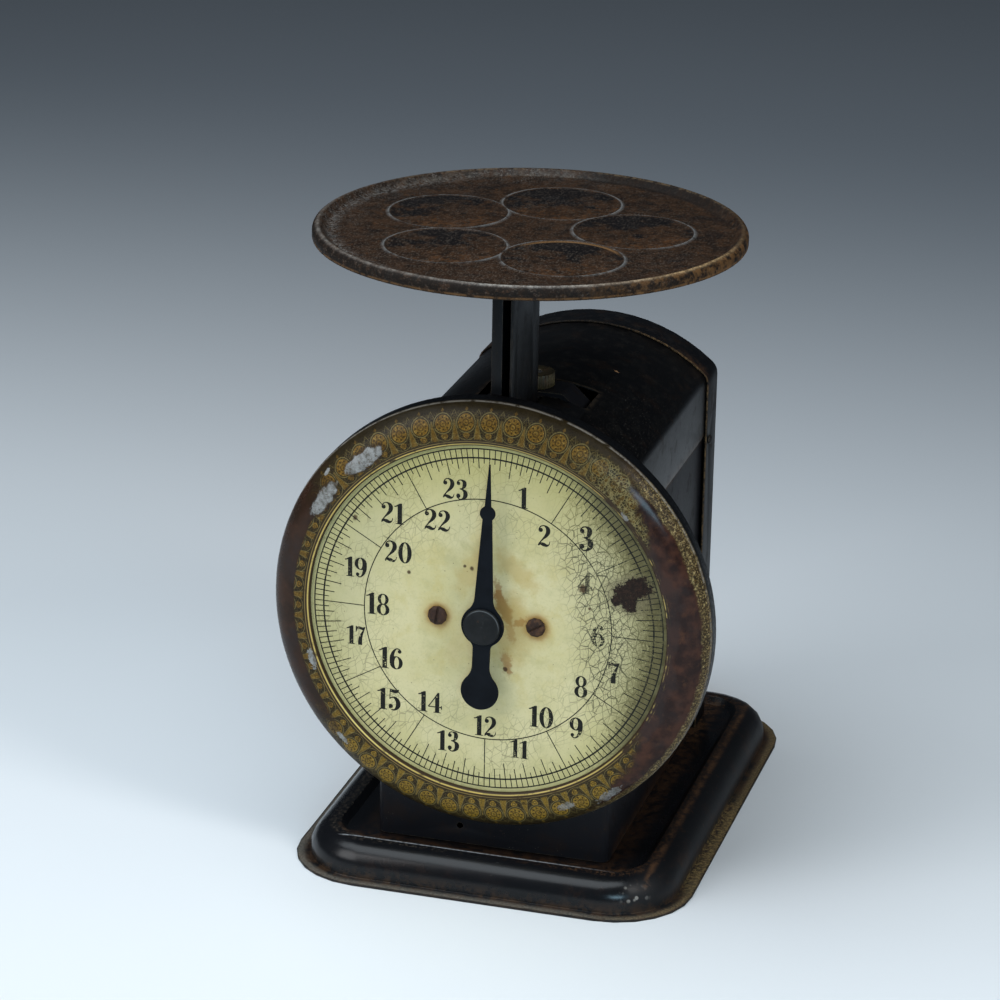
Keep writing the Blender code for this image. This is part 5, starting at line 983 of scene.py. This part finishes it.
# The shapes of each digit, on a height of 1, with its width
SIX = [bowl(0.30, 0.31, 0.30, 0.31, 0.105, 0.265, 0.02),
       stroke([(0.10, 0.36, 0.20), (0.105, 0.58, 0.19), (0.17, 0.80, 0.13), (0.29, 0.955, 0.06),
               (0.41, 0.965, 0.05), (0.50, 0.89, 0.05)]),
       ball(0.455, 0.845, 0.085)]
DIGITS = {
    "0": (0.62, [bowl(0.31, 0.5, 0.31, 0.5, 0.115, 0.455)]),
    "1": (0.42, [fill((0.15, 0.0), (0.36, 0.0), (0.36, 1.0), (0.27, 1.0), (0.15, 0.93)),
                 stroke([(0.20, 0.93, 0.07), (0.11, 0.865, 0.06), (0.0, 0.83, 0.05)]),
                 fill((0.06, 0.0), (0.45, 0.0), (0.45, 0.025), (0.36, 0.045), (0.15, 0.045), (0.06, 0.025))]),
    "2": (0.58, [ball(0.13, 0.765, 0.10),
                 stroke([(0.055, 0.80, 0.05), (0.13, 0.93, 0.05), (0.29, 0.975, 0.06), (0.44, 0.87, 0.17),
                         (0.47, 0.70, 0.20), (0.39, 0.52, 0.15), (0.22, 0.32, 0.07), (0.05, 0.10, 0.05)]),
                 stroke([(0.03, 0.03, 0.05), (0.13, 0.12, 0.11), (0.27, 0.095, 0.17), (0.41, 0.055, 0.12),
                         (0.52, 0.11, 0.05), (0.565, 0.26, 0.03)])]),
    "3": (0.57, [ball(0.13, 0.80, 0.09),
                 stroke([(0.06, 0.83, 0.05), (0.14, 0.945, 0.05), (0.27, 0.975, 0.06), (0.41, 0.88, 0.18),
                         (0.41, 0.70, 0.18), (0.32, 0.565, 0.08), (0.19, 0.535, 0.04)]),
                 stroke([(0.19, 0.535, 0.04), (0.34, 0.50, 0.08), (0.46, 0.38, 0.20), (0.46, 0.20, 0.20),
                         (0.34, 0.055, 0.09), (0.20, 0.025, 0.05), (0.065, 0.12, 0.05)]),
                 ball(0.13, 0.185, 0.10)]),
    "4": (0.66, [fill((0.33, 0.0), (0.53, 0.0), (0.53, 1.0), (0.47, 1.0), (0.33, 0.80)),
                 stroke([(0.47, 0.99, 0.05), (0.24, 0.62, 0.05), (0.01, 0.29, 0.05)]),
                 fill((0.0, 0.26), (0.60, 0.26), (0.63, 0.18), (0.66, 0.18), (0.65, 0.37), (0.62, 0.37),
                      (0.59, 0.31), (0.0, 0.31)),
                 fill((0.25, 0.0), (0.61, 0.0), (0.61, 0.025), (0.53, 0.045), (0.33, 0.045), (0.25, 0.025))]),
    "5": (0.57, [fill((0.08, 1.0), (0.09, 0.86), (0.36, 0.81), (0.47, 0.86), (0.51, 1.0), (0.30, 0.965)),
                 fill((0.07, 0.52), (0.105, 0.52), (0.12, 0.90), (0.08, 0.90)),
                 stroke([(0.08, 0.53, 0.04), (0.19, 0.61, 0.06), (0.34, 0.58, 0.13), (0.455, 0.42, 0.20),
                         (0.455, 0.22, 0.20), (0.34, 0.055, 0.10), (0.19, 0.025, 0.05), (0.06, 0.12, 0.05)]),
                 ball(0.13, 0.19, 0.10)]),
    "6": (0.60, SIX),
    "7": (0.52, [fill((0.0, 1.0), (0.035, 1.0), (0.07, 0.965), (0.20, 0.99), (0.37, 0.95), (0.50, 1.0),
                      (0.50, 0.93), (0.37, 0.80), (0.20, 0.85), (0.08, 0.82), (0.035, 0.68), (0.0, 0.68)),
                 stroke([(0.47, 0.94, 0.05), (0.36, 0.68, 0.10), (0.265, 0.42, 0.17), (0.235, 0.20, 0.21),
                         (0.235, 0.0, 0.21)])]),
    "8": (0.58, [bowl(0.29, 0.745, 0.25, 0.255, 0.10, 0.215), bowl(0.29, 0.27, 0.29, 0.27, 0.115, 0.225)]),
    "9": (0.60, turned_round(SIX, 0.30, 0.5)),
}

# Each number's place across and up from the dial's centre, and its height
NUMBERS = {1: (13.2, 51.2, 8.4), 2: (21.7, 37.1, 8.5), 3: (37.9, 37.9, 9.9), 4: (38.0, 20.2, 8.8),
           6: (43.6, -0.5, 8.8), 7: (50.2, -14.7, 8.6), 8: (37.5, -22.1, 8.8), 9: (36.0, -39.3, 8.7),
           10: (22.1, -36.7, 8.8), 11: (13.7, -51.2, 7.6), 12: (0.0, -43.5, 8.4), 13: (-14.7, -51.8, 8.4),
           14: (-22.1, -36.5, 8.4), 15: (-38.7, -37.6, 8.9), 16: (-38.0, -20.4, 8.8), 17: (-52.1, -12.7, 7.7),
           18: (-43.4, 1.3, 8.8), 19: (-52.3, 15.3, 8.1), 20: (-35.5, 23.5, 8.6), 21: (-38.0, 39.0, 8.4),
           22: (-20.2, 38.3, 8.4), 23: (-13.3, 51.6, 8.1)}


class Print:
    """Thin raised ink on the dial: prisms a few hundredths of a millimetre proud of the enamel."""

    def __init__(self):
        self.points = []
        self.faces = []
        self.level = 0

    def depth(self):
        self.level += 1
        return DIAL_FACE - 0.00003 - 0.0000004 * (self.level % 60)

    def strip(self, left, right):
        depth = self.depth()
        first = len(self.points)
        for (a, b), (c, d) in zip(left, right):
            for x, z in ((a, b), (c, d)):
                self.points.append((x * MM, depth, DIAL_Z + z * MM))
                self.points.append((x * MM, DIAL_FACE + 0.00001, DIAL_Z + z * MM))
        for i in range(len(left) - 1):
            a = first + 4 * i
            self.faces.append((a, a + 2, a + 6, a + 4))
            self.faces.append((a, a + 4, a + 5, a + 1))
            self.faces.append((a + 2, a + 3, a + 7, a + 6))

    def fill(self, outline):
        depth = self.depth()
        first = len(self.points)
        count = len(outline)
        for x, z in outline:
            self.points.append((x * MM, depth, DIAL_Z + z * MM))
        for x, z in outline:
            self.points.append((x * MM, DIAL_FACE + 0.00001, DIAL_Z + z * MM))
        self.faces.append(tuple(range(first, first + count)))
        for i in range(count):
            n = (i + 1) % count
            self.faces.append((first + i, first + n, first + count + n, first + count + i))

    def ring(self, radius, width, steps=360):
        turns = [2 * math.pi * s / steps for s in range(steps + 1)]
        self.strip(*[[(side * math.sin(t), side * math.cos(t)) for t in turns]
                     for side in (radius - width / 2, radius + width / 2)])

    def ray(self, turn, start, end, width):
        sx, sz = math.sin(turn), math.cos(turn)
        self.strip(*[[(sx * along - sz * half, sz * along + sx * half) for along in (start, end)]
                     for half in (width / 2, -width / 2)])

    def text(self, words, x, z, height):
        gap = 0.06
        wide = sum(DIGITS[d][0] for d in words) + gap * (len(words) - 1)
        at = -wide / 2
        for d in words:
            for kind, *runs in DIGITS[d][1]:
                moved = [[(x + (a + at) * height, z + (b - 0.5) * height) for a, b in run] for run in runs]
                if kind == "strip":
                    self.strip(*moved)
                else:
                    self.fill(moved[0])
            at += DIGITS[d][0] + gap

    def mesh(self, name):
        mesh = mesh_of(name, self.points, self.faces)
        work = bmesh.new()
        work.from_mesh(mesh)
        bmesh.ops.triangulate(work, faces=[f for f in work.faces if len(f.verts) > 4])
        for face in work.faces:
            face.normal_update()
            if face.normal.y > 0.5:
                face.normal_flip()
        work.to_mesh(mesh)
        work.free()
        return mesh


# Radii of the scale's rings, in millimetres, with the widths of their lines
OUTER_RING, SCALE_RING, INNER_RING = (68.8, 0.48), (65.2, 0.62), (48.8, 0.40)
DIVISIONS = 192
# How far a line runs in from the scale's ring where its number divides by this
REACHES = ((8, 6.2), (4, 6.6), (2, 4.2), (1, 2.1))

scale_print = Print()
for radius, width in (OUTER_RING, SCALE_RING, INNER_RING):
    scale_print.ring(radius, width)
for step in range(DIVISIONS):
    inner = SCALE_RING[0] - next(reach for every, reach in REACHES if step % every == 0)
    if step % 16 == 0:
        inner = INNER_RING[0]
    scale_print.ray(2 * math.pi * step / DIVISIONS, 68.9, inner, 0.34)
lines = piece("dial_scale_lines", scale_print.mesh("dial_scale_lines"), "case", dial_print)
number_print = Print()
for value, (x, z, height) in NUMBERS.items():
    number_print.text(str(value), x, z, height)
numbers = piece("dial_numbers", number_print.mesh("dial_numbers"), "case", dial_print)


# Pointer: sizes in millimetres, along it from the arbor
TIP = 65.0
DISC, DISC_RADIUS = 45.5, 3.0
HUB_RADIUS = 8.4
WEIGHT, WEIGHT_RADIUS = -26.8, 7.45
NECK_TOP, NECK_FOOT, TAIL = 1.75, 3.6, 3.45
POINTER_FRONT, POINTER_BACK, CHAMFER = -0.088875, -0.088175, 0.00018


def pointer_half(at):
    """Half the pointer's width at a place along it, in millimetres."""
    def disc(place, radius):
        return math.sqrt(max(0.0, radius ** 2 - (at - place) ** 2))

    def joined(place, radius, half, fillet):
        """A straight neck that runs through a hollow fillet into a disc."""
        rise = math.sqrt((radius + fillet) ** 2 - (half + fillet) ** 2)
        away = abs(at - place)
        if away >= rise:
            return half
        if away > rise * radius / (radius + fillet):
            return half + fillet - math.sqrt(fillet ** 2 - (rise - away) ** 2)
        return disc(place, radius)

    if at > 47.4:
        return max(0.25 + (TIP - at) / (TIP - 48.2), disc(DISC, DISC_RADIUS))
    if at > 11.6:
        neck = NECK_TOP + (NECK_FOOT - NECK_TOP) * (DISC - at) / (DISC - 11.6)
        return max(neck, disc(DISC, DISC_RADIUS))
    if at > 0:
        return joined(0, HUB_RADIUS, NECK_FOOT, 8.0)
    if at > -12.0:
        return joined(0, HUB_RADIUS, TAIL, 3.0)
    if at > WEIGHT:
        return joined(WEIGHT, WEIGHT_RADIUS, TAIL, 8.0)
    return disc(WEIGHT, WEIGHT_RADIUS)


def pointer_mesh():
    """The pointer, leaned clockwise about its arbor, as far past zero as it stands in the photograph."""
    lean = Matrix.Translation((0, 0, DIAL_Z)) @ Matrix.Rotation(math.radians(1.6), 4, "Y")
    places = list(np.arange(TIP, WEIGHT, -0.25))
    places += [WEIGHT - WEIGHT_RADIUS * math.sin(math.pi / 2 * s / 24) for s in range(24)]
    points = []
    for at in places:
        half = max(pointer_half(at), 0.12) * MM
        inner = max(half - CHAMFER, half * 0.4)
        section = ((-inner, POINTER_FRONT), (inner, POINTER_FRONT), (half, POINTER_FRONT + CHAMFER),
                   (half, POINTER_BACK), (-half, POINTER_BACK), (-half, POINTER_FRONT + CHAMFER))
        points += [lean @ Vector((x, y, at * MM)) for x, y in section]
    rows = [list(range(first, first + 6)) for first in range(0, len(points), 6)]
    return closed("pointer_hand", points, banded(rows) + [rows[0], rows[-1]])


hand = piece("pointer_hand", pointer_mesh(), "pointer_shaft", blued, 25)
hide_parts("pointer")
cap_profile = [(0, 0.0903), (0.0052, 0.0903), (0.0058, 0.09015), (0.0062, 0.0902), (0.0066, 0.09035),
               (0.0069, 0.0903), (0.0071, 0.09015), (0.0072, 0.0899), (0.0072, 0.0892), (0, 0.0892)]
hub = piece("hub_cap", turned("hub_cap", cap_profile, to_front(), 96), "pointer_shaft", cap_steel, 50)
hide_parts("pointer_hub_cap")


# Sheet pieces from the CAD shapes
for node, material, bevel, slot_name in (
        ("base_pan", pan_black, 0.30, "black_japan"), ("lower_case", case_black, 0.22, "black_japan"),
        ("hood", hood_black, 0.22, "black_japan"), ("back_cap", cap_black, 0.22, "black_japan"),
        ("dial_pan", case_black, 0.20, "black_japan"), ("post", post_black, 0.25, "black_japan"),
        ("platform_bracket", post_black, 0.25, "black_japan"), ("zero_nut", nut_brass, 0.15, "old_brass")):
    refined(node, material, bevel)
for side, x, turn in (("left", -SCREW_X, 82.0), ("right", SCREW_X, 30.0)):
    refined("dial_screw_" + side, screw_rust, 0.15, about=(x, DIAL_Z), turn=turn)


# Springs
SPRING_LOW, SPRING_HIGH = 0.0666, 0.1664
SPRING_TURNS, SPRING_STEPS = 10, 260
COIL_RADIUS, WIRE_RADIUS, WIRE_SIDES = 0.0054, 0.0009, 10
SPRING_END = 0.0060


def spring_mesh(name, x):
    """A close coil with its two straight ends, as a round wire along a smooth line."""
    line = [Vector((x, SPRING_Y, SPRING_LOW)), Vector((x, SPRING_Y, SPRING_LOW + SPRING_END * 0.5))]
    for step in range(SPRING_STEPS + 1):
        share = step / SPRING_STEPS
        turn = 2 * math.pi * SPRING_TURNS * share
        reach = COIL_RADIUS * min(1.0, smoothstep(share, 0, 0.05), smoothstep(1 - share, 0, 0.05))
        z = SPRING_LOW + SPRING_END + (SPRING_HIGH - SPRING_LOW - 2 * SPRING_END) * share
        line.append(Vector((x + reach * math.cos(turn), SPRING_Y + reach * math.sin(turn), z)))
    line += [Vector((x, SPRING_Y, SPRING_HIGH - SPRING_END * 0.5)), Vector((x, SPRING_Y, SPRING_HIGH))]
    points, rows = [], []
    normal = Vector((1, 0, 0))
    for i, place in enumerate(line):
        along = (line[min(i + 1, len(line) - 1)] - line[max(i - 1, 0)]).normalized()
        normal = (normal - along * normal.dot(along)).normalized()
        side = along.cross(normal)
        rows.append(list(range(len(points), len(points) + WIRE_SIDES)))
        for s in range(WIRE_SIDES):
            turn = 2 * math.pi * s / WIRE_SIDES
            points.append(place + (normal * math.cos(turn) + side * math.sin(turn)) * WIRE_RADIUS)
    return closed(name, points, banded(rows) + [rows[0], rows[-1]])


for side, x in (("left", -0.0170), ("right", 0.0170)):
    name = "coil_spring_" + side
    made = added(name, spring_mesh(name, x), spring_steel)
    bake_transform(made)
    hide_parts("spring_" + side)


# The CAD nodes that stay keep their shapes and get a better material
REPLACED = ("platform", "bezel", "pointer", "pointer_hub_cap", "base_pan", "lower_case", "hood", "back_cap",
            "dial_pan", "post", "platform_bracket", "zero_nut", "dial_screw_left", "dial_screw_right",
            "spring_left", "spring_right")
LOOK = {"dial_plate": dial_cream, "front_bush": brass, "pinion": brass, "bearing_bracket": strap_bronze,
        "guide_socket": strap_bronze, "inner_frame": case_black, "crosshead": case_black,
        "load_strap_left": case_black, "load_strap_right": case_black, "lower_crossbar": case_black}
for node in frame["nodes"]:
    if node not in REPLACED:
        plain = case_black if "rivet" in node or "pin_" in node else steel
        held = frame["nodes"][node].data
        held.materials.clear()
        held.materials.append(LOOK.get(node, plain))


# Floor, lights and camera
def floor_finish():
    """Pale near the object, with painted shade that darkens it far behind and far in front of the object."""
    g = Graph("studio_floor")
    g.colour = g.mix(g.noise(300, 2, seed=91.0), (0.74, 0.775, 0.80), (0.77, 0.80, 0.825))
    # Painted shade far in front, where the front lamp's light would pool on the floor.
    g.lay(g.smooth(g.y, -800.0, -1500.0), (0.34, 0.37, 0.40))
    # Painted shade far behind the object.
    g.lay(g.smooth(g.y, -250.0, 1150.0), (0.225, 0.255, 0.290))
    return g.finish(0.7, specular=0.1)


floor_mesh = mesh_of("studio_floor", [(-9, -9, 0), (9, -9, 0), (9, 9, 0), (-9, 9, 0)], [(0, 1, 2, 3)])
floor = added("studio_floor", floor_mesh)
floor_mesh.materials.append(floor_finish())


def area(name, place, aim, size, power, colour):
    """A soft rectangular lamp."""
    light = bpy.data.lights.new(name, "AREA")
    light.shape = "RECTANGLE"
    light.size, light.size_y = size
    light.energy = power
    light.color = colour
    made = added(name, light)
    made.location = place
    made.rotation_euler = (Vector(aim) - Vector(place)).to_track_quat("-Z", "Y").to_euler()


area("overhead_softbox", (-0.25, -0.28, 1.22), (0, -0.05, 0.1), (1.2, 1.0), 14.5, (0.86, 0.94, 1.0))
area("front_left_softbox", (-1.0, -1.1, 0.9), (0, 0, 0.12), (0.8, 0.9), 10.5, (0.97, 0.98, 1.0))
area("front_window", (0.62, -1.55, 0.55), (0.04, -0.08, 0.05), (0.55, 0.30), 7.2, (0.50, 0.80, 1.0))
area("right_strip", (1.05, -0.55, 1.00), (0, 0, 0.12), (0.34, 0.7), 7.5, (1.0, 0.97, 0.94))

sky = Graph("studio", "worlds")
backward = sky.split(sky.coordinates["Generated"])[1]
shade = sky.mix(sky.smooth(backward, -0.35, 0.35), (0.060, 0.065, 0.071), (0.018, 0.022, 0.027))
sky.put(shade, sky.tree.nodes["Background"].inputs["Color"])
bpy.context.scene.world = sky.owner

# The camera stands as the photograph's did, with its own roll
azimuth, elevation, roll = (math.radians(a) for a in (15.890, 20.291, 1.052))
level = math.cos(elevation)
back = Vector((math.sin(azimuth) * level, -math.cos(azimuth) * level, math.sin(elevation)))
right = Vector((math.cos(azimuth), math.sin(azimuth), 0))
upward = back.cross(right)
right_rolled = math.cos(roll) * right + math.sin(roll) * upward
up_rolled = -math.sin(roll) * right + math.cos(roll) * upward
lens = bpy.data.cameras.new("camera")
lens.lens = 134.03
lens.sensor_width = 36.0
lens.clip_start = 0.05
camera = added("camera", lens)
place = Matrix((right_rolled, up_rolled, back)).transposed().to_4x4()
place.translation = Vector((0.36191, -1.33889, 0.64373))
camera.matrix_world = place
bpy.context.scene.camera = camera
bpy.context.scene.view_settings.view_transform = "Standard"
